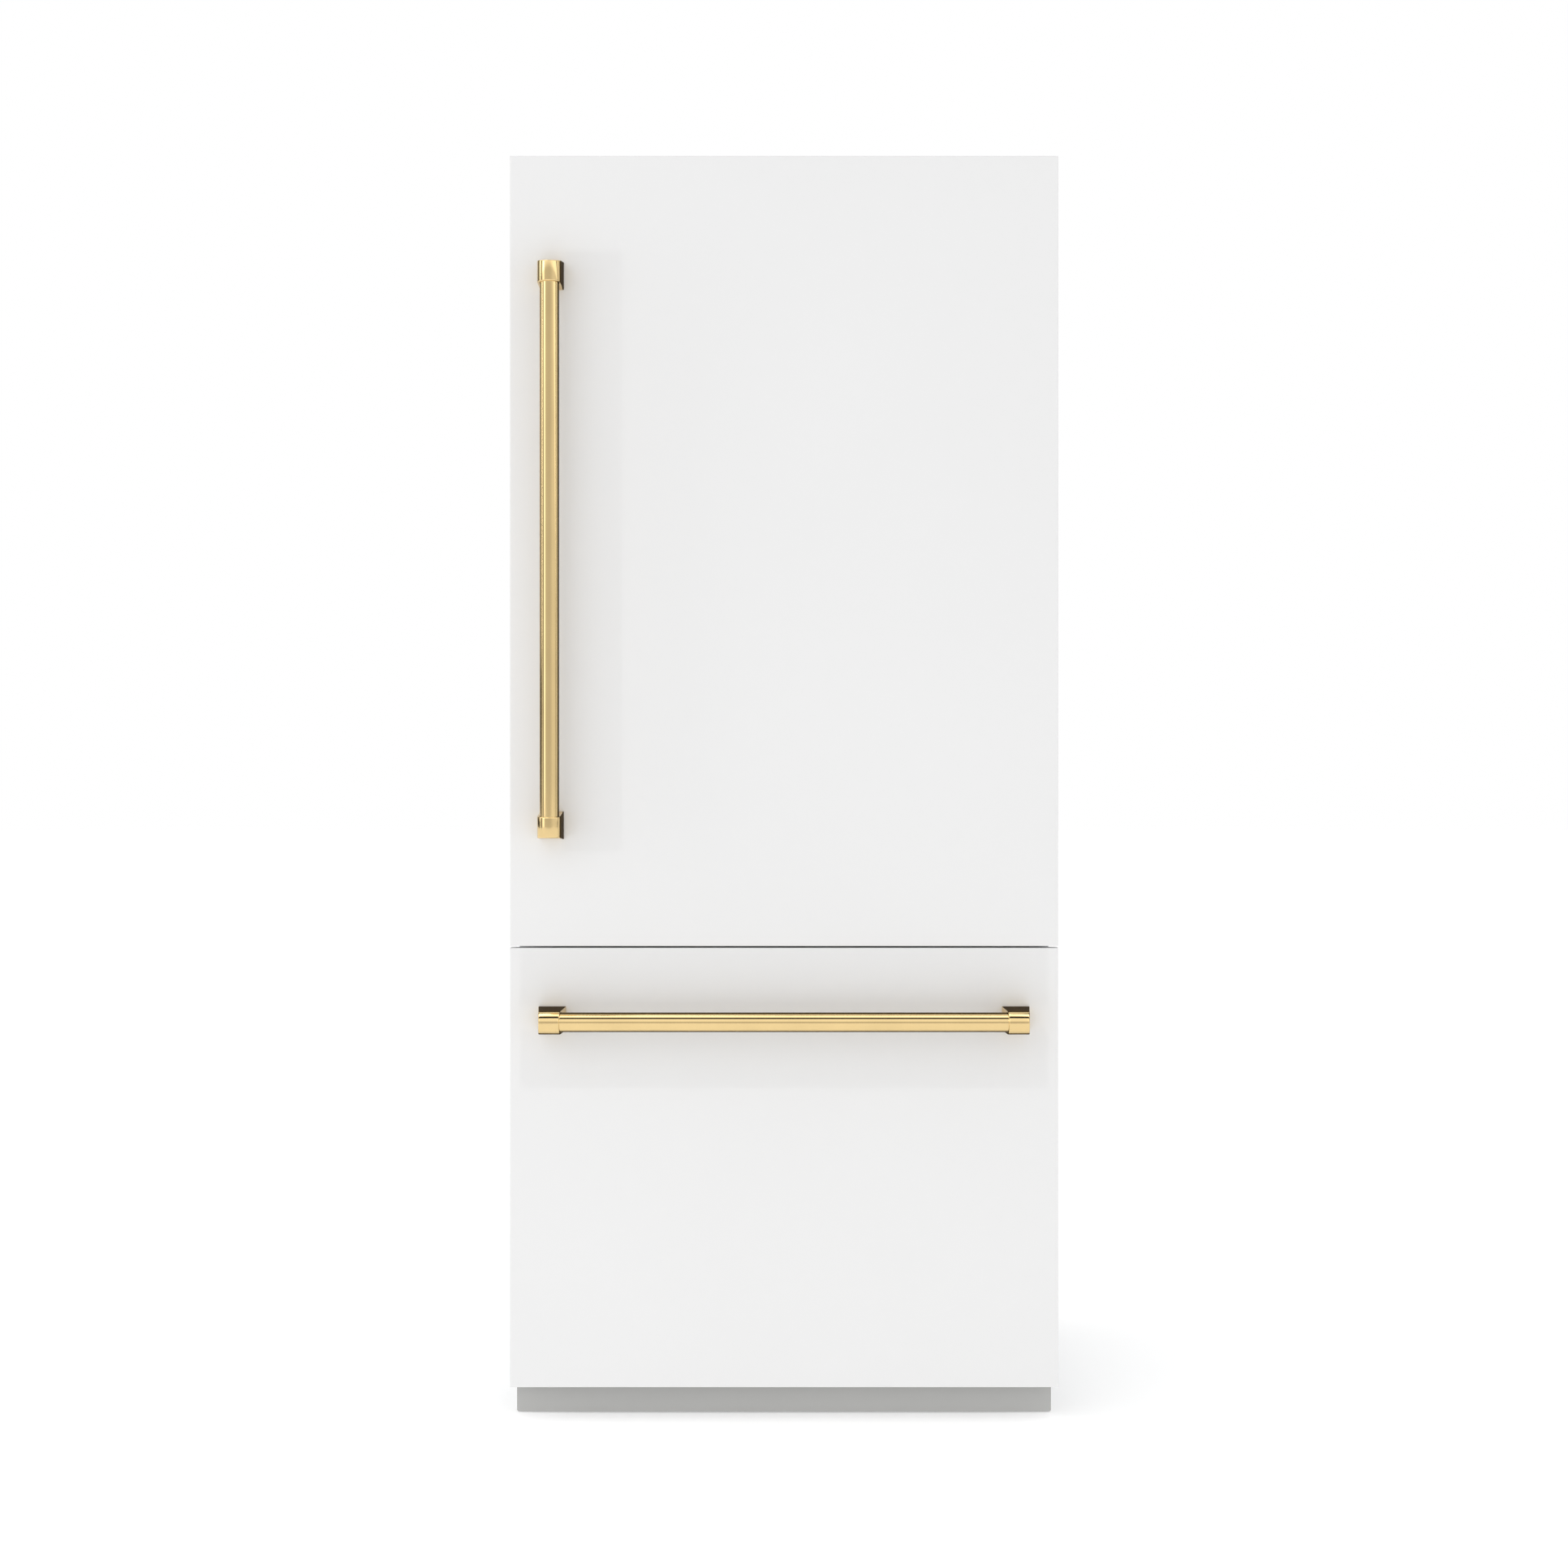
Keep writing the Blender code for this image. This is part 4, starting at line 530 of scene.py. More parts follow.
def bracket_outline(radius, axis_height, inset, count=96):
    """The bracket's U shape about the bar's axis, as distance from the axis over angle.

    It is the radius in front of the axis. Behind it, it is where the ray meets a side or the base.
    """
    base_corner = math.atan2(axis_height, radius)
    fixed = [-base_corner, -np.pi + base_corner]
    angle = np.sort(np.append(np.linspace(-np.pi, np.pi, count, endpoint=False), fixed))
    sine = np.sin(angle)
    cosine = np.cos(angle)
    with np.errstate(divide="ignore"):
        side = radius / np.maximum(np.abs(cosine), 1e-9)
        base = axis_height / np.maximum(-sine, 1e-9)
    reach = np.where(sine >= 0, radius, np.minimum(side, base))
    on_base = (sine < 0) & (base <= side + 1e-9)
    reach = reach - inset
    points = np.stack([reach * cosine, reach * sine], -1)
    points[on_base, 1] = -axis_height
    return angle, points


def bracket_shape(name, bar, upright, rounding, taper, depth):
    """A handle bracket: U-shaped rings carried along the bar, shortened towards the front.

    A ring at share s of the half length lies at s times half the bracket's local length, which falls
    evenly from the panel to the front. The end that faces the bar turns in to a round socket.
    """
    low, high = corners(name)
    bar_low, bar_high = corners(bar)
    along = 2 if upright else 0
    across = 0 if upright else 2
    centre = (low + high) / 2
    bar_centre = (bar_low + bar_high) / 2
    side = np.sign(bar_centre[along] - centre[along])
    radius = (high[across] - low[across]) / 2
    bar_radius = (bar_high[across] - bar_low[across]) / 2
    reach = high[1] - low[1]
    axis_height = reach - radius
    half_base = (high[along] - low[along]) / 2

    def half_length(height):
        return half_base * (1 - (1 - taper) * height / reach)

    def ring(inset, back_off, end, circle=None, sunk=0.0):
        angle, flat = bracket_outline(radius, axis_height, inset)
        if circle is not None:
            flat = circle * np.stack([np.cos(angle), np.sin(angle)], -1)
        height = flat[:, 1] + axis_height
        w = end * (half_length(height) - back_off)
        if sunk:
            w = np.full_like(height, end * (half_length(axis_height) - sunk))
        point = np.zeros((len(flat), 3))
        point[:, across] = centre[across] + flat[:, 0]
        point[:, 1] = high[1] - height
        point[:, along] = centre[along] + side * w
        return point

    turn = np.linspace(0, np.pi / 2, 6)
    inset = rounding * (1 - np.sin(turn))
    drop = rounding * (1 - np.cos(turn))
    rings = [ring(rounding * 1.6, 0, -1)]
    rings += [ring(i, d, -1) for i, d in zip(inset, drop)]
    rings += [ring(i, d, 1) for i, d in zip(inset[::-1], drop[::-1])]
    mouth = bar_radius + FIT
    rings += [ring(0, 0, 1, mouth + 0.0007), ring(0, 0.0002, 1, mouth + 0.0002)]
    rings += [ring(0, 0, 1, mouth, 0.0012), ring(0, 0, 1, mouth, depth)]
    return lattice(rings)


def bar_shape(name, bore, upright):
    """A handle tube: its wall's section, a rectangle with eased corners, turned about the bar's axis."""
    low, high = corners(name)
    along = 2 if upright else 0
    radius = (high[1] - low[1]) / 2
    half = (high[along] - low[along]) / 2
    ease = 0.0005
    profile = [
        (radius - ease, half), (radius, half - ease), (radius, 0), (radius, ease - half),
        (radius - ease, -half), (bore + ease, -half), (bore, ease - half), (bore, half - ease),
        (bore + ease, half),
    ]
    return turned(profile, (low + high) / 2, "z" if upright else "x", 128, closed=True)


def seal_shape(name):
    """A bellows seal carried round a rectangle, mitred at its corners.

    The section is a closed smooth curve: a foot on the door, two folds and a magnet chamber.
    """
    low, high = corners(name)
    depth = high[1] - low[1]
    section = np.array([
        (0.06, 0.0), (0.5, 0.0), (0.94, 0.0), (0.97, 0.12), (0.84, 0.24), (0.80, 0.34), (0.93, 0.44),
        (0.96, 0.56), (0.85, 0.68), (0.95, 0.78), (0.97, 0.92), (0.90, 0.99), (0.5, 1.0), (0.10, 0.99),
        (0.03, 0.92), (0.05, 0.78), (0.15, 0.68), (0.04, 0.56), (0.07, 0.44), (0.20, 0.34),
        (0.16, 0.24), (0.03, 0.12),
    ])
    section = np.clip(smooth_loop(section, 4), 0, 1)
    inner = (high - low) / 2 - SEAL_WIDTH
    centre = (low + high) / 2
    stations = np.array([(-1, -1), (1, -1), (1, 1), (-1, 1)])
    rings = np.zeros((len(section), 4, 3))
    across = section[:, 0, None] * SEAL_WIDTH
    rings[..., 0] = centre[0] + stations[:, 0] * (inner[0] + across)
    rings[..., 1] = low[1] + section[:, 1, None] * depth
    rings[..., 2] = centre[2] + stations[:, 1] * (inner[2] + across)
    return lattice(rings, closed=True)


def tray_shape(low, high, wall, corner, slope, fillet, rim):
    """An open tray: rings that follow its section from the floor's underside to the floor inside.

    The wall leans in by slope towards the floor, fillets round the floor's edge on both sides, and
    the rim turns out level with a rounded lip.
    """
    turn = np.linspace(0, np.pi / 2, 6)
    bottom = low[2]
    top = high[2]
    lip = wall / 2
    foot = rim + slope
    outer = [(foot + fillet + 0.006, bottom)]
    outer += list(zip(foot + fillet * (1 - np.sin(turn)), bottom + fillet * (1 - np.cos(turn))))
    shoulder = top - wall
    if rim:
        outer += [(rim + 0.0006, shoulder - 0.0020), (rim - 0.0006, shoulder - 0.0004)]
        outer += [(rim - 0.002, shoulder), (lip, shoulder)]
        outer += [(lip * 0.3, top - lip * 1.7), (0, top - lip), (lip * 0.3, top - lip * 0.3), (lip, top)]
        outer += [(rim + wall - 0.0015, top), (rim + wall - 0.0003, top - 0.0006)]
    else:
        outer += [(0, top - lip), (lip * 0.3, top - lip * 0.3), (lip, top)]
        outer += [(wall - lip * 0.3, top - lip * 0.3)]
    inner_foot = foot + wall
    floor = bottom + wall
    back = turn[::-1]
    inner = [(rim + wall + slope * 0.02, top - 0.003)]
    inner += list(zip(inner_foot + fillet * (1 - np.sin(back)), floor + fillet * (1 - np.cos(back))))
    inner += [(inner_foot + fillet + 0.006, floor)]
    return lattice(box_rings(low, high, "z", outer + inner, corner + rim, 8))


def liner_shape(name, corner):
    """The fresh-food liner: an open box with round corners inside and a square flange in front."""
    low, high = corners(name)
    wall = LINER_WALL
    front = low[1]
    back = high[1]
    half = ((high[0] - low[0]) / 2, (high[2] - low[2]) / 2)
    centre = ((high[0] + low[0]) / 2, (high[2] + low[2]) / 2)
    turn = np.linspace(0, np.pi / 2, 7)[::-1]
    stations = [(0, back, 0.001), (0, front, 0.001), (wall, front, corner)]
    stations += [
        (wall + corner * (1 - math.sin(t)), back - wall - corner * (1 - math.cos(t)), corner) for t in turn
    ]
    rings = [
        spread(rounded_rectangle(half[0] - i, half[1] - i, max(r - i + wall, 0.001), 8), y, "y", centre)
        for i, y, r in stations
    ]
    return lattice(rings)


def pressed_sheet(low, high, ribs, depth, x_lines, z_lines):
    """A flat sheet whose outer side has ribs pressed in.

    The depth at a point is the largest over the ribs of a smooth step of its distance inside the rib.
    """
    x, z = np.meshgrid(x_lines, z_lines, indexing="ij")
    pressed = np.zeros_like(x)
    for rib_low, rib_high in ribs:
        inside = np.minimum.reduce([x - rib_low[0], rib_high[0] - x, z - rib_low[1], rib_high[1] - z])
        share = np.clip(inside / RIB_SLOPE, 0, 1)
        pressed = np.maximum(pressed, share * share * (3 - 2 * share))
    outer = np.stack([x, high[1] - depth * pressed, z], -1)
    inner = np.stack([x, np.full_like(x, low[1]), z], -1)
    return closed_slab(outer, inner)


def closed_slab(outer, inner):
    """Two grids of the same size joined round their edges."""
    rows, columns = outer.shape[:2]
    points = np.vstack([outer.reshape(-1, 3), inner.reshape(-1, 3)])
    index = np.arange(rows * columns).reshape(rows, columns)
    corner = (index[:-1, :-1], index[:-1, 1:], index[1:, 1:], index[1:, :-1])
    front = np.stack(corner, -1).reshape(-1, 4)
    rear = front[:, ::-1] + rows * columns
    rim = np.concatenate([index[0, :-1], index[:-1, -1], index[-1, :0:-1], index[:0:-1, 0]])
    after = np.roll(rim, -1)
    side = np.stack([after, rim, rim + rows * columns, after + rows * columns], -1)
    return points, np.vstack([front, rear, side]).tolist()


def screw_shape(place, axis, sign, radius):
    """A pan head with a cross recess: a dome over radius and angle, less a step inside the cross.

    The dome falls with the fourth power of the radius. A point is in the cross within 0.13 radii of
    an arm's middle line and 0.62 radii of the axis.
    """
    share = np.array([0.0001, 0.12, 0.2, 0.34, 0.5, 0.62, 0.7, 0.86, 0.96, 1.0])[:, None]
    angle = np.linspace(0, 2 * np.pi, 32, endpoint=False)[None]
    height = 0.0021 * (1 - 0.55 * share**4) + 0 * angle
    near = share * np.minimum(np.abs(np.sin(angle)), np.abs(np.cos(angle)))
    height = np.where((near < 0.13) & (share < 0.63), height - 0.0011, height)
    flat = radius * share[..., None] * np.stack([np.cos(angle), np.sin(angle)], -1)
    foot = flat[-1:]
    flat = np.concatenate([flat, foot, foot * 0.5])
    height = np.concatenate([height, np.zeros((2, 32))])
    i = "xyz".index(axis)
    others = [place[j] for j in range(3) if j != i]
    return lattice(spread(flat, place[i] + sign * height, axis, others))


def fan_shape(name, axis, blades=5):
    """A fan: a rounded hub and blades whose pitch falls from root to tip.

    A blade's section is an ellipse, turned by the pitch and wrapped on the cylinder of its radius.
    """
    low, high = corners(name)
    i = "xyz".index(axis)
    centre = (low + high) / 2
    others = [j for j in range(3) if j != i]
    reach = max(high[j] - low[j] for j in others) / 2 * 0.98
    half = (high[i] - low[i]) / 2
    hub = 0.018
    bore = 0.0025
    profile = [
        (bore, -half), (hub - 0.002, -half), (hub, 0.002 - half), (hub, half - 0.006),
        (hub - 0.002, half - 0.002), (hub - 0.007, half), (0.0001, half), (0.0001, half - 0.007),
        (bore, half - 0.007),
    ]
    parts = [turned(profile, centre, axis, 48, closed=True)]
    share = np.linspace(0, 1, 12)[:, None]
    turn = np.linspace(0, 2 * np.pi, 20, endpoint=False)[None]
    radius = hub * 0.9 + (reach - hub * 0.9) * share + 0 * turn
    pitch = np.radians(48 - 22 * share)
    chord = 0.010 + 0.004 * np.sin(np.pi * share * 0.9) + 0.002 * share
    u = chord * np.cos(turn)
    v = 0.0008 * np.sin(turn) + 0.0012 * (1 - (u / chord) ** 2)
    sideways = u * np.cos(pitch) - v * np.sin(pitch)
    level = np.clip(u * np.sin(pitch) + v * np.cos(pitch), -half * 0.92, half * 0.92)
    for k in range(blades):
        angle = sideways / radius + 2 * np.pi * k / blades
        flat = np.stack([radius * np.cos(angle), radius * np.sin(angle)], -1)
        parts.append(lattice(spread(flat, centre[i] + level, axis, [centre[j] for j in others])))
    return parts


def threaded_foot(name):
    """A levelling foot: a pad with a chamfered edge, a hexagon's height of plain stem, and a thread.

    The thread's section is a zigzag of 1.25 mm pitch turned about the stem.
    """
    low, high = corners(name)
    centre = ((low[0] + high[0]) / 2, (low[1] + high[1]) / 2, 0)
    pad = (high[0] - low[0]) / 2
    crest = np.arange(0.018, high[2] - 0.002, 0.00125)
    thread = [(r, z) for c in crest for r, z in ((0.0042, c), (0.0049, c + 0.0006))]
    profile = [
        (0.0001, 0), (pad - 0.0015, 0), (pad, 0.0012), (pad, 0.004), (pad - 0.002, 0.0062),
        (0.009, 0.008), (0.0075, 0.009), (0.0075, 0.015), (0.0048, 0.016), *thread, (0.0001, high[2]),
    ]
    return turned(profile, centre, "z", 48)


def roller_shape(name):
    """A roller: a web between a bored hub and a crowned tyre."""
    low, high = corners(name)
    centre = (low + high) / 2
    half = (high[0] - low[0]) / 2
    radius = (high[2] - low[2]) / 2
    bore = 0.0046
    profile = [
        (bore, -half), (0.0085, -half), (0.0085, -half * 0.5), (radius - 0.005, -half * 0.5),
        (radius - 0.005, -half), (radius - 0.0015, -half), (radius, -half * 0.75), (radius, half * 0.75),
        (radius - 0.0015, half), (radius - 0.005, half), (radius - 0.005, half * 0.5),
        (0.0085, half * 0.5), (0.0085, half), (bore, half),
    ]
    return turned(profile, centre, "x", 64, closed=True)


def compressor_shape(name):
    """A compressor can (a dome, a weld seam and a keel) on a plate with four grommets, and a terminal box."""
    low, high = corners(name)
    centre = (low + high) / 2
    radius = (high[0] - low[0]) / 2
    height = high[2] - low[2]
    turn = np.linspace(0, np.pi / 2, 12)
    top = [(radius * math.sin(t) + 0.0001, height - 0.055 + 0.055 * math.cos(t)) for t in turn]
    seam_z = height * 0.42
    seam = [
        (radius, seam_z + 0.004), (radius, seam_z + 0.003), (radius - 0.001, seam_z),
        (radius - 0.004, seam_z - 0.003),
    ]
    keel = [((radius - 0.004) * math.cos(t) + 0.0001, 0.036 - 0.030 * math.sin(t)) for t in turn]
    can = turned(top + seam + keel, (centre[0], centre[1], low[2]), "z", 96)
    plate_low = (low[0], centre[1] - 0.056, low[2] + 0.002)
    plate_high = (high[0], centre[1] + 0.056, low[2] + 0.0045)
    parts = [can, block(plate_low, plate_high, 0.0009)]
    grommet = [
        (0.0001, 0.0), (0.0075, 0.0), (0.008, 0.001), (0.006, 0.005), (0.008, 0.009), (0.0001, 0.010),
    ]
    for sx in (-1, 1):
        for sy in (-1, 1):
            foot = (centre[0] + sx * (radius - 0.010), centre[1] + sy * 0.046, low[2])
            parts.append(turned(grommet, foot, "z", 32))
    box_low = (low[0] - 0.014, centre[1] - 0.020, low[2] + 0.055)
    box_high = (low[0] + 0.012, centre[1] + 0.020, low[2] + 0.100)
    return parts, block(box_low, box_high, 0.004)


def compressor_pipes(name):
    """Suction and discharge pipes: smooth curves from the can to the bay's wall."""
    low, high = corners(name)
    centre = (low + high) / 2
    start = (centre[0] - 0.030, centre[1] - 0.045, low[2] + 0.105)
    pipes = []
    for shift, lift in ((0, 0.030), (0.060, 0.018)):
        x, y, z = start[0] + shift, start[1], start[2]
        path = [(x, y + 0.010, z), (x, y - 0.004, z + lift), (x - 0.040, y - 0.012, z + lift + 0.006),
                (x - 0.120, y - 0.012, z + lift + 0.004), (x - 0.190, y - 0.010, z + lift)]
        pipes.append(tube(smooth_line(path, 8), 0.0035))
    return pipes


# Operators: one for each group of like pieces.


class REFRIGERATOR_OT_finishes(bpy.types.Operator):
    """Make every finish from the chosen colours"""

    bl_idname = "refrigerator.finishes"
    bl_label = "Finishes"

    def execute(self, context):
        make_finishes(context.scene.refrigerator_finishes)
        return {"FINISHED"}


class REFRIGERATOR_OT_panels(bpy.types.Operator):
    """Make the painted front panels, and paint the cores behind them charcoal as painted shade in the gap
    between the panels
    """

    bl_idname = "refrigerator.panels"
    bl_label = "Front panels"

    def execute(self, context):
        sizes = context.scene.refrigerator_sizes
        for node, body in (("door_panel", "door"), ("drawer_panel", "freezer_drawer")):
            shape = panel_shape(node, sizes.panel_round)
            piece(f"{node}_skin", [shape], FINISH["panel"], body, (node,))
        # Charcoal on the cores is painted shade that darkens the gap between the panels.
        paint_nodes(["door_core", "drawer_core"], FINISH["core"])
        soften(["door_core", "drawer_core"], 0.0012, 3)
        return {"FINISHED"}


class REFRIGERATOR_OT_handles(bpy.types.Operator):
    """Make the brass handle tubes and their brackets"""

    bl_idname = "refrigerator.handles"
    bl_label = "Handles"

    def execute(self, context):
        sizes = context.scene.refrigerator_sizes
        sets = (
            ("door_handle", ("top", "bottom"), "door", True, "bar_z"),
            ("drawer_handle", ("left", "right"), "freezer_drawer", False, "bar_x"),
        )
        for stem, ends, body, upright, metal in sets:
            bar = f"{stem}_bar"
            shape = bar_shape(bar, sizes.bar_bore, upright)
            piece(f"{stem}_tube", [shape], FINISH[metal], body, (bar,))
            for end in ends:
                node = f"{stem}_bracket_{end}"
                shape = bracket_shape(
                    node, bar, upright, sizes.bracket_round, sizes.bracket_taper, sizes.socket_depth
                )
                piece(f"{stem}_mount_{end}", [shape], FINISH["bracket"], body, (node,))
        return {"FINISHED"}


class REFRIGERATOR_OT_seals(bpy.types.Operator):
    """Make the bellows seals of the door and the drawer"""

    bl_idname = "refrigerator.seals"
    bl_label = "Seals"

    def execute(self, context):
        for node, body in (("door_gasket", "door"), ("drawer_gasket", "freezer_drawer")):
            name = node.replace("gasket", "seal")
            piece(name, [seal_shape(node)], FINISH["seal"], body, (node,), 60)
        return {"FINISHED"}


class REFRIGERATOR_OT_cabinet(bpy.types.Operator):
    """Finish the cabinet and press ribs in its back panel"""

    bl_idname = "refrigerator.cabinet"
    bl_label = "Cabinet"

    def execute(self, context):
        sizes = context.scene.refrigerator_sizes
        paint_nodes(["cabinet_wrapper", "face_frame"], FINISH["shell"])
        paint_nodes(["toe_kick"], FINISH["plinth"])
        paint_nodes(["bay_cover", "base_tray", "hinge_top", "hinge_center"], FINISH["zinc"])
        paint_nodes(["cabinet_foam"], FINISH["foam"])
        soften(["cabinet_wrapper", "face_frame", "toe_kick", "bay_cover"], 0.0004, 2)
        soften(["hinge_top", "hinge_center"], 0.0006, 2)
        self.back_panel(sizes.rib_depth)
        return {"FINISHED"}

    def back_panel(self, depth):
        """Five level ribs, and grid lines that crowd where a rib's side slopes."""
        low, high = corners("back_panel")
        height = high[2] - low[2]
        levels = [low[2] + height * (k + 0.5) / RIB_COUNT for k in range(RIB_COUNT)]
        left = low[0] + RIB_MARGIN
        right = high[0] - RIB_MARGIN
        ribs = [((left, z - RIB_HALF_WIDTH), (right, z + RIB_HALF_WIDTH)) for z in levels]
        steps = np.linspace(0, RIB_SLOPE, 5)
        x_edges = [left + steps, right - steps]
        x_lines = np.unique(np.concatenate([np.linspace(low[0], high[0], 24), *x_edges]).round(6))
        z_edges = [z - RIB_HALF_WIDTH + steps for z in levels]
        z_edges += [z + RIB_HALF_WIDTH - steps for z in levels]
        z_lines = np.unique(np.concatenate([np.linspace(low[2], high[2], 30), *z_edges]).round(6))
        shape = pressed_sheet(low, high, ribs, depth, x_lines, z_lines)
        piece("back_sheet", [shape], FINISH["zinc"], "cabinet", ("back_panel",), 60)


class REFRIGERATOR_OT_fresh_food(bpy.types.Operator):
    """Make the fresh-food liner, its shelves' trims and its crispers"""

    bl_idname = "refrigerator.fresh_food"
    bl_label = "Fresh-food compartment"

    def execute(self, context):
        sizes = context.scene.refrigerator_sizes
        shape = liner_shape("fridge_liner", sizes.liner_corner)
        liner_parts = [shape, *self.ledges()]
        piece("fridge_lining", liner_parts, FINISH["liner"], "cabinet", ("fridge_liner",))
        frames = [f"shelf_frame_{i}" for i in (1, 2, 3)]
        paint_nodes(frames, FINISH["liner"])
        soften(frames, 0.0022, 3)
        plates = [f"shelf_glass_{i}" for i in (1, 2, 3)] + ["crisper_cover"]
        paint_nodes(plates, FINISH["glass"])
        soften(plates, 0.0008, 2)
        covers = ["air_duct_cover", "control_housing"]
        paint_nodes(covers, FINISH["liner"])
        soften(covers, 0.0006, 2)
        paint_nodes(["button_fridge", "button_freezer"], FINISH["nylon"])
        soften(["button_fridge", "button_freezer"], 0.0006, 2)
        self.trims(frames)
        self.lamp()
        for side in ("left", "right"):
            self.crisper(f"crisper_{side}")
        return {"FINISHED"}

    def ledges(self):
        """Rounded ledges along both side walls, under each shelf and under the crisper cover."""
        inner = corners("fridge_liner")[1][0] - LINER_WALL
        parts = []
        for node in ("crisper_cover", "shelf_frame_1", "shelf_frame_2", "shelf_frame_3"):
            low, high = corners(node)
            for side in (-1, 1):
                xs = sorted((side * (inner - LEDGE_WIDTH), side * (inner + 0.001)))
                top = low[2] - FIT
                start = (xs[0], low[1], top - LEDGE_HEIGHT)
                parts.append(block(start, (xs[1], high[1], top), 0.0014, "y"))
        return parts

    def trims(self, frames):
        """A satin metal strip along the front of each shelf."""
        parts = []
        for node in frames:
            low, high = corners(node)
            parts.append(
                block(
                    (low[0] + 0.003, low[1] - 0.0012, low[2] + 0.003),
                    (high[0] - 0.003, low[1] + 0.0008, high[2] - 0.003),
                    0.0008,
                    "x",
                )
            )
        piece("shelf_trims", parts, FINISH["trim"], "cabinet")

    def lamp(self):
        """The opal lamp cover let into the underside of the control housing."""
        low, high = corners("control_housing")
        shape = block(
            (low[0] + 0.045, low[1] + 0.035, low[2] - 0.0012),
            (high[0] - 0.045, high[1] - 0.022, low[2] + 0.0006),
            0.0009,
        )
        piece("lamp_cover", [shape], FINISH["lamp"], "cabinet")

    def crisper(self, node):
        """A crisper with a grip moulded across its front."""
        low, high = corners(node)
        body_low = low + np.array((0, GRIP_REACH, 0))
        parts = [tray_shape(body_low, high, *CRISPER_SECTION)]
        middle = (low[0] + high[0]) / 2
        grip_low = (middle - 0.080, low[1], high[2] - 0.030)
        grip_high = (middle + 0.080, body_low[1] + 0.0012, high[2] - 0.018)
        parts.append(block(grip_low, grip_high, 0.003, "x"))
        piece(f"{node}_tub", parts, FINISH["clear"], node, (node,))


class REFRIGERATOR_OT_door_fittings(bpy.types.Operator):
    """Finish the door's liner and make its bins"""

    bl_idname = "refrigerator.door_fittings"
    bl_label = "Door fittings"

    def execute(self, context):
        paint_nodes(["door_liner"], FINISH["liner"])
        soften(["door_liner"], 0.0018, 3)
        for node in ("bottle_bin", "door_bin_lower", "door_bin_upper", "dairy_bin"):
            low, high = corners(node)
            shape = tray_shape(low, high, *BIN_SECTION)
            piece(f"{node}_tub", [shape], FINISH["clear"], "door", (node,))
        paint_nodes(["dairy_lid"], FINISH["clear"])
        soften(["dairy_lid"], 0.0008, 2)
        return {"FINISHED"}


class REFRIGERATOR_OT_freezer(bpy.types.Operator):
    """Finish the freezer's liner, slides and cover, and make its basket and tray"""

    bl_idname = "refrigerator.freezer"
    bl_label = "Freezer compartment"

    def execute(self, context):
        paint_nodes(["freezer_liner", "evaporator_cover"], FINISH["liner"])
        soften(["freezer_liner"], 0.0009, 3)
        soften(["evaporator_cover"], 0.0006, 2)
        members = ("outer", "middle", "inner")
        slides = [f"slide_{member}_{side}" for member in members for side in ("left", "right")]
        paint_nodes(slides, FINISH["zinc"])
        soften(slides, 0.0003, 2)
        paint_nodes(["evaporator_coil"], FINISH["aluminium"])
        for node, body, section in (
            ("freezer_basket", "freezer_drawer", BASKET_SECTION),
            ("freezer_tray", "freezer_tray", FREEZER_TRAY_SECTION),
        ):
            low, high = corners(node)
            shape = tray_shape(low, high, *section)
            piece(f"{node}_tub", [shape], FINISH["clear"], body, (node,))
        return {"FINISHED"}


class REFRIGERATOR_OT_machinery(bpy.types.Operator):
    """Make the fans, compressor, feet and rollers"""

    bl_idname = "refrigerator.machinery"
    bl_label = "Machinery"

    def execute(self, context):
        for node, axis in (("condenser_fan", "x"), ("evaporator_fan", "y")):
            name = node.replace("fan", "blades")
            piece(name, fan_shape(node, axis), FINISH["nylon"], node, (node,))
        can, terminal_box = compressor_shape("compressor")
        piece("compressor_can", can, FINISH["enamel"], "cabinet", ("compressor",))
        piece("compressor_terminals", [terminal_box], FINISH["nylon"], "cabinet")
        piece("compressor_pipes", compressor_pipes("compressor"), FINISH["copper"], "cabinet")
        paint_nodes(["condenser_coil"], FINISH["copper"])
        for side in ("left", "right"):
            foot = f"foot_{side}"
            shape = threaded_foot(foot)
            piece(f"levelling_{foot}", [shape], FINISH["screw"], foot, (foot,))
            roller = f"roller_{side}"
            shape = roller_shape(roller)
            piece(f"rear_{roller}", [shape], FINISH["tyre"], roller, (roller,))
        return {"FINISHED"}


class REFRIGERATOR_OT_screws(bpy.types.Operator):
    """Put screws in the back panel, the bay cover and the top hinge"""

    bl_idname = "refrigerator.screws"
    bl_label = "Screws"

    def execute(self, context):
        radius = context.scene.refrigerator_sizes.screw_head
        low, high = corners("back_panel")
        inset = 0.014
        sink = 0.0022
        shapes = []
        for z in np.linspace(low[2] + 0.040, high[2] - 0.020, 9):
            for x in (low[0] + inset, high[0] - inset):
                shapes.append(((x, high[1] - sink, z), "y", 1))
        low, high = corners("bay_cover")
        for z in (low[2] + 0.020, high[2] - 0.020):
            for x in np.linspace(low[0] + inset, high[0] - inset, 4):
                shapes.append(((x, high[1] - sink, z), "y", 1))
        low, high = corners("hinge_top")
        for dx, dy in ((0.014, 0.012), (0.044, 0.012), (0.029, 0.040)):
            shapes.append(((low[0] + dx, high[1] - dy, high[2] - 0.0003), "z", 1))
        parts = [screw_shape(place, axis, sign, radius) for place, axis, sign in shapes]
        piece("cabinet_screws", parts, FINISH["screw"], "cabinet", angle=30)
        return {"FINISHED"}


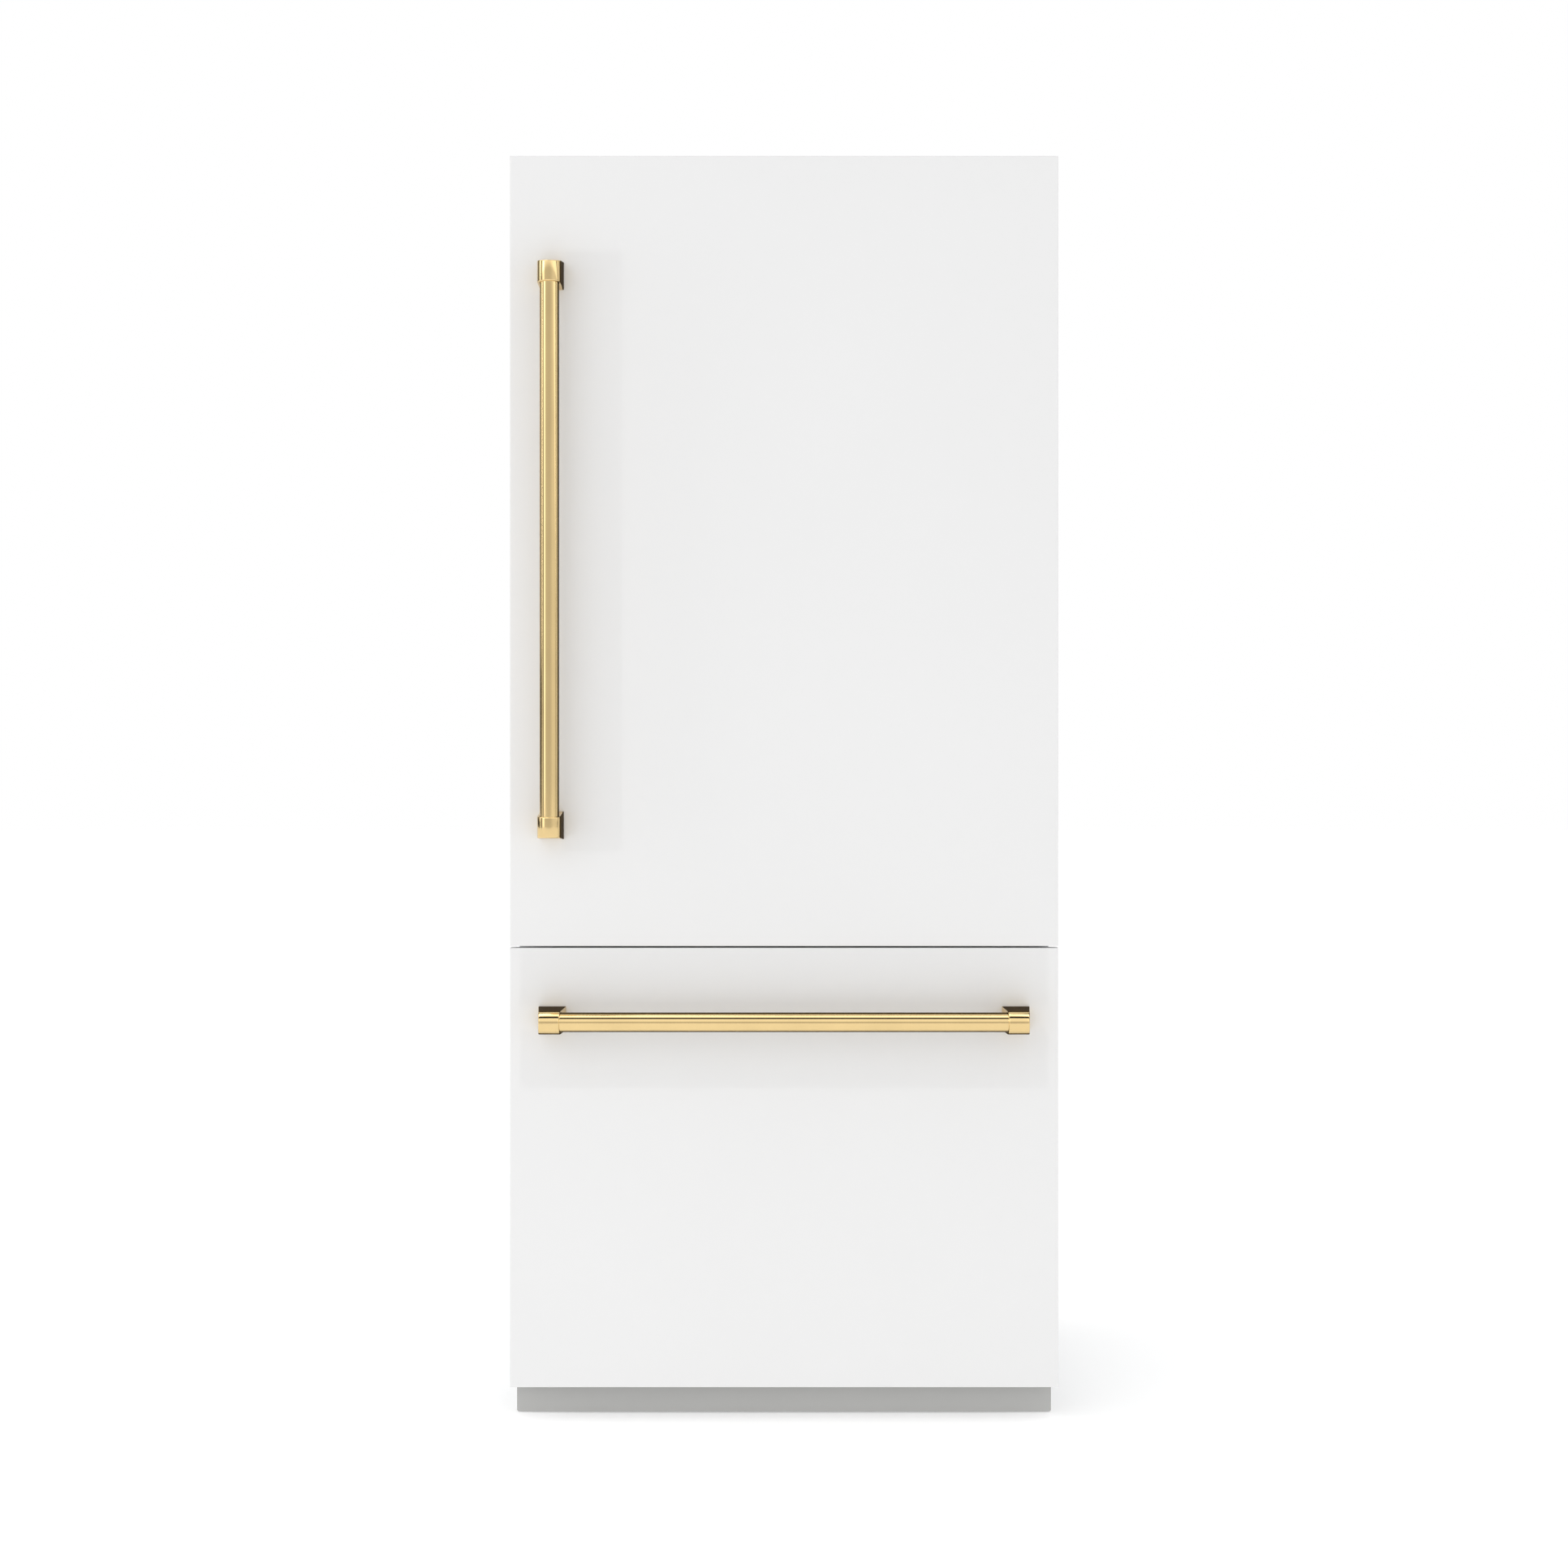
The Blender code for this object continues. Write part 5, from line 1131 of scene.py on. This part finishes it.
# Brightness of the room in a glossy surface: (degrees from the front, level). Left and down are negative.
UPRIGHT_BANDS = (
    (-180, 0.5), (-126, 0.6), (-108, 0.9), (-102, 2.2), (-88, 2.2), (-85, 0.42), (-64, 0.4), (-61, 1.9),
    (-44, 1.7), (-38, 0.78), (10, 0.74), (48, 1.0), (80, 0.95), (92, 0.45), (106, 0.12), (180, 0.08),
)
LEVEL_BANDS = (
    (-180, 0.08), (-140, 0.1), (-122, 0.25), (-108, 0.75), (-80, 1.15), (-52, 1.0), (-20, 0.96),
    (12, 0.96), (18, 1.6), (44, 1.75), (47, 0.06), (64, 0.05), (67, 2.6), (92, 2.4), (98, 0.5), (180, 0.3),
)


class REFRIGERATOR_OT_stage(bpy.types.Operator):
    """Make the floor, the soft studio light and the camera"""

    bl_idname = "refrigerator.stage"
    bl_label = "Studio"

    def execute(self, context):
        self.floor()
        self.flags()
        self.sky(context.scene)
        self.lights()
        self.camera(context.scene)
        context.scene.view_settings.view_transform = "Standard"
        context.scene.view_settings.look = "None"
        context.scene.view_settings.exposure = 0.0
        return {"FINISHED"}

    def floor(self):
        """A pale floor with a faint mottle, lit enough to meet the white backdrop."""
        material, tree, shader, place = start_finish("studio_floor", (0.93, 0.93, 0.93), 0.9)
        shader.inputs["Emission Color"].default_value = (1, 1, 1, 1)
        shader.inputs["Emission Strength"].default_value = 0.35
        mottle = noise(tree, place, 0.4, 2.0).outputs["Fac"]
        vary_colour(tree, shader, mottle, (0.92, 0.92, 0.92), (0.94, 0.94, 0.94))
        mesh = bpy.data.meshes.new("studio_floor")
        reach = 14.0
        level = CAD_BOX[0][2] - 0.0005
        mesh.from_pydata(
            [(-reach, -reach, level), (reach, -reach, level), (reach, reach, level), (-reach, reach, level)],
            [], [(0, 1, 2, 3)],
        )
        mesh.materials.append(material)
        obj = bpy.data.objects.new("studio_floor", mesh)
        bpy.context.scene.collection.objects.link(obj)

    def sky(self, scene):
        """White to the camera, a soft room to matt surfaces, and strips of light to glossy ones.

        To a glossy surface the room's brightness is a base times two band curves: one over the angle
        round the vertical axis, for upright tubes, and one over the angle round the level axis.
        """
        world = bpy.data.worlds.new("studio")
        scene.world = world
        world.use_nodes = True
        tree = world.node_tree
        tree.nodes.clear()
        direction = add_node(tree, "ShaderNodeTexCoord").outputs["Generated"]
        split = add_node(tree, "ShaderNodeSeparateXYZ", {"Vector": direction})
        lift = add_node(
            tree, "ShaderNodeMapRange",
            {"Value": split.outputs["Z"], "From Min": -0.6, "From Max": 0.7, "To Min": 0.63, "To Max": 0.92},
        )
        side = add_node(
            tree, "ShaderNodeMapRange",
            {"Value": split.outputs["X"], "From Min": -0.9, "From Max": 0.9, "To Min": 1.04, "To Max": 0.8},
        )
        room = add_node(
            tree, "ShaderNodeMath", {0: lift.outputs["Result"], 1: side.outputs["Result"]},
            operation="MULTIPLY",
        )
        front = add_node(tree, "ShaderNodeMath", {0: split.outputs["Y"], 1: -1.0}, operation="MULTIPLY")
        round_bands = self.bands(tree, split.outputs["X"], front.outputs["Value"], UPRIGHT_BANDS)
        level_bands = self.bands(tree, split.outputs["Z"], front.outputs["Value"], LEVEL_BANDS)
        gloss = add_node(
            tree, "ShaderNodeMath", {0: round_bands, 1: level_bands}, operation="MULTIPLY"
        )
        path = add_node(tree, "ShaderNodeLightPath")
        lit = add_node(
            tree, "ShaderNodeMix",
            {
                "Factor": path.outputs["Is Glossy Ray"],
                "A": room.outputs["Value"],
                "B": gloss.outputs["Value"],
            },
            data_type="FLOAT",
        )
        level = add_node(
            tree, "ShaderNodeMix",
            {"Factor": path.outputs["Is Camera Ray"], "A": lit.outputs["Result"], "B": 1.0},
            data_type="FLOAT",
        )
        background = add_node(
            tree, "ShaderNodeBackground", {"Color": (1, 1, 1, 1), "Strength": level.outputs["Result"]}
        )
        add_node(tree, "ShaderNodeOutputWorld", {"Surface": background.outputs["Background"]})

    def bands(self, tree, across, front, stops):
        """Brightness over the angle between a direction and the front, from -180 to 180 degrees."""
        angle = add_node(tree, "ShaderNodeMath", {0: across, 1: front}, operation="ARCTAN2")
        turn = add_node(
            tree, "ShaderNodeMapRange",
            {"Value": angle.outputs["Value"], "From Min": -math.pi, "From Max": math.pi},
        )
        ramp = add_node(tree, "ShaderNodeValToRGB", {"Fac": turn.outputs["Result"]})
        elements = ramp.color_ramp.elements
        while len(elements) > 1:
            elements.remove(elements[-1])
        for index, (degrees, level) in enumerate(stops):
            element = elements[0] if index == 0 else elements.new((degrees + 180) / 360)
            element.position = (degrees + 180) / 360
            element.color = (level, level, level, 1)
        split = add_node(tree, "ShaderNodeSeparateColor", {"Color": ramp.outputs["Color"]})
        return split.outputs["Red"]

    def flags(self):
        """Dark cards beside the handles. Only glossy surfaces see them, so they cast no shadow."""
        material, tree, shader, place = start_finish("flag_cloth", (0.07, 0.06, 0.05), 0.95)
        relief(tree, shader, noise(tree, place, 0.001).outputs["Fac"], 0.0002)
        low, high = corners("door_handle_bar")
        front = corners("door_panel")[0][1] - 0.002
        wide = 0.10
        upright = ((high[0] + 0.002, low[2] - 0.05), (high[0] + wide, high[2] + 0.05))
        low, high = corners("drawer_handle_bar")
        under = ((low[0] - 0.06, low[2] - wide), (high[0] + 0.06, low[2] - 0.002))
        over = ((low[0] - 0.06, high[2] + 0.004), (high[0] + 0.06, high[2] + wide))
        points, faces = [], []
        for (x0, z0), (x1, z1) in (upright, under, over):
            start = len(points)
            points += [(x0, front, z0), (x1, front, z0), (x1, front, z1), (x0, front, z1)]
            faces.append(range(start, start + 4))
        mesh = bpy.data.meshes.new("handle_flags")
        mesh.from_pydata(points, [], [list(face) for face in faces])
        mesh.materials.append(material)
        obj = bpy.data.objects.new("handle_flags", mesh)
        bpy.context.scene.collection.objects.link(obj)
        for kind in ("camera", "diffuse", "shadow", "transmission", "volume_scatter"):
            setattr(obj, f"visible_{kind}", False)

    def lights(self):
        """Soft boxes at the upper left and the right, and a tall strip at the far left."""
        low, high = CAD_BOX
        aim = Vector((0, low[1], (low[2] + high[2]) / 2))
        for name, place, size, power in (
            ("softbox_upper_left", (-2.0, -3.4, 3.6), (3.2, 2.2), 12),
            ("strip_left", (-3.2, -0.9, 1.5), (0.35, 2.4), 8),
            ("softbox_right", (2.8, -3.4, 1.6), (0.9, 1.8), 5),
        ):
            data = bpy.data.lights.new(name, "AREA")
            data.shape = "RECTANGLE"
            data.size = size[0]
            data.size_y = size[1]
            data.energy = power
            lamp = bpy.data.objects.new(name, data)
            lamp.visible_glossy = False
            lamp.location = place
            lamp.rotation_euler = (aim - lamp.location).to_track_quat("-Z", "Y").to_euler()
            bpy.context.scene.collection.objects.link(lamp)

    def camera(self, scene):
        """A level camera 4 m from the panels, shifted a little to frame the whole."""
        low, high = CAD_BOX
        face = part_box("door_panel")[0][1]
        distance = 4.0
        frame_height = 2.5951
        eye_height = 1.25
        data = bpy.data.cameras.new("front_camera")
        data.sensor_width = 36
        data.lens = data.sensor_width * distance / frame_height
        frame_centre = high[2] - 1.0396
        eye = low[2] + eye_height
        data.shift_y = (frame_centre - eye) / frame_height
        camera = bpy.data.objects.new("front_camera", data)
        camera.location = (0, face - distance, eye)
        camera.rotation_euler = (math.pi / 2, 0, 0)
        scene.collection.objects.link(camera)
        scene.camera = camera


OPERATORS = (
    REFRIGERATOR_OT_finishes,
    REFRIGERATOR_OT_stage,
    REFRIGERATOR_OT_panels,
    REFRIGERATOR_OT_handles,
    REFRIGERATOR_OT_seals,
    REFRIGERATOR_OT_cabinet,
    REFRIGERATOR_OT_fresh_food,
    REFRIGERATOR_OT_door_fittings,
    REFRIGERATOR_OT_freezer,
    REFRIGERATOR_OT_machinery,
    REFRIGERATOR_OT_screws,
)


class REFRIGERATOR_PT_panel(bpy.types.Panel):
    """Lists the refrigerator's operators, colours and sizes"""

    bl_idname = "REFRIGERATOR_PT_panel"
    bl_label = "Refrigerator"
    bl_space_type = "VIEW_3D"
    bl_region_type = "UI"
    bl_category = "Refrigerator"

    def draw(self, context):
        layout = self.layout
        for group in (context.scene.refrigerator_finishes, context.scene.refrigerator_sizes):
            column = layout.column()
            for name in group.__annotations__:
                column.prop(group, name)
        for operator in OPERATORS:
            layout.operator(operator.bl_idname)


CLASSES = (RefrigeratorFinishes, RefrigeratorSizes, *OPERATORS, REFRIGERATOR_PT_panel)


def register():
    for cls in CLASSES:
        bpy.utils.register_class(cls)
    bpy.types.Scene.refrigerator_finishes = bpy.props.PointerProperty(type=RefrigeratorFinishes)
    bpy.types.Scene.refrigerator_sizes = bpy.props.PointerProperty(type=RefrigeratorSizes)


def unregister():
    del bpy.types.Scene.refrigerator_sizes
    del bpy.types.Scene.refrigerator_finishes
    for cls in reversed(CLASSES):
        bpy.utils.unregister_class(cls)


def main():
    register()
    for operator in OPERATORS:
        group, name = operator.bl_idname.split(".")
        getattr(getattr(bpy.ops, group), name)()


if __name__ == "__main__":
    main()
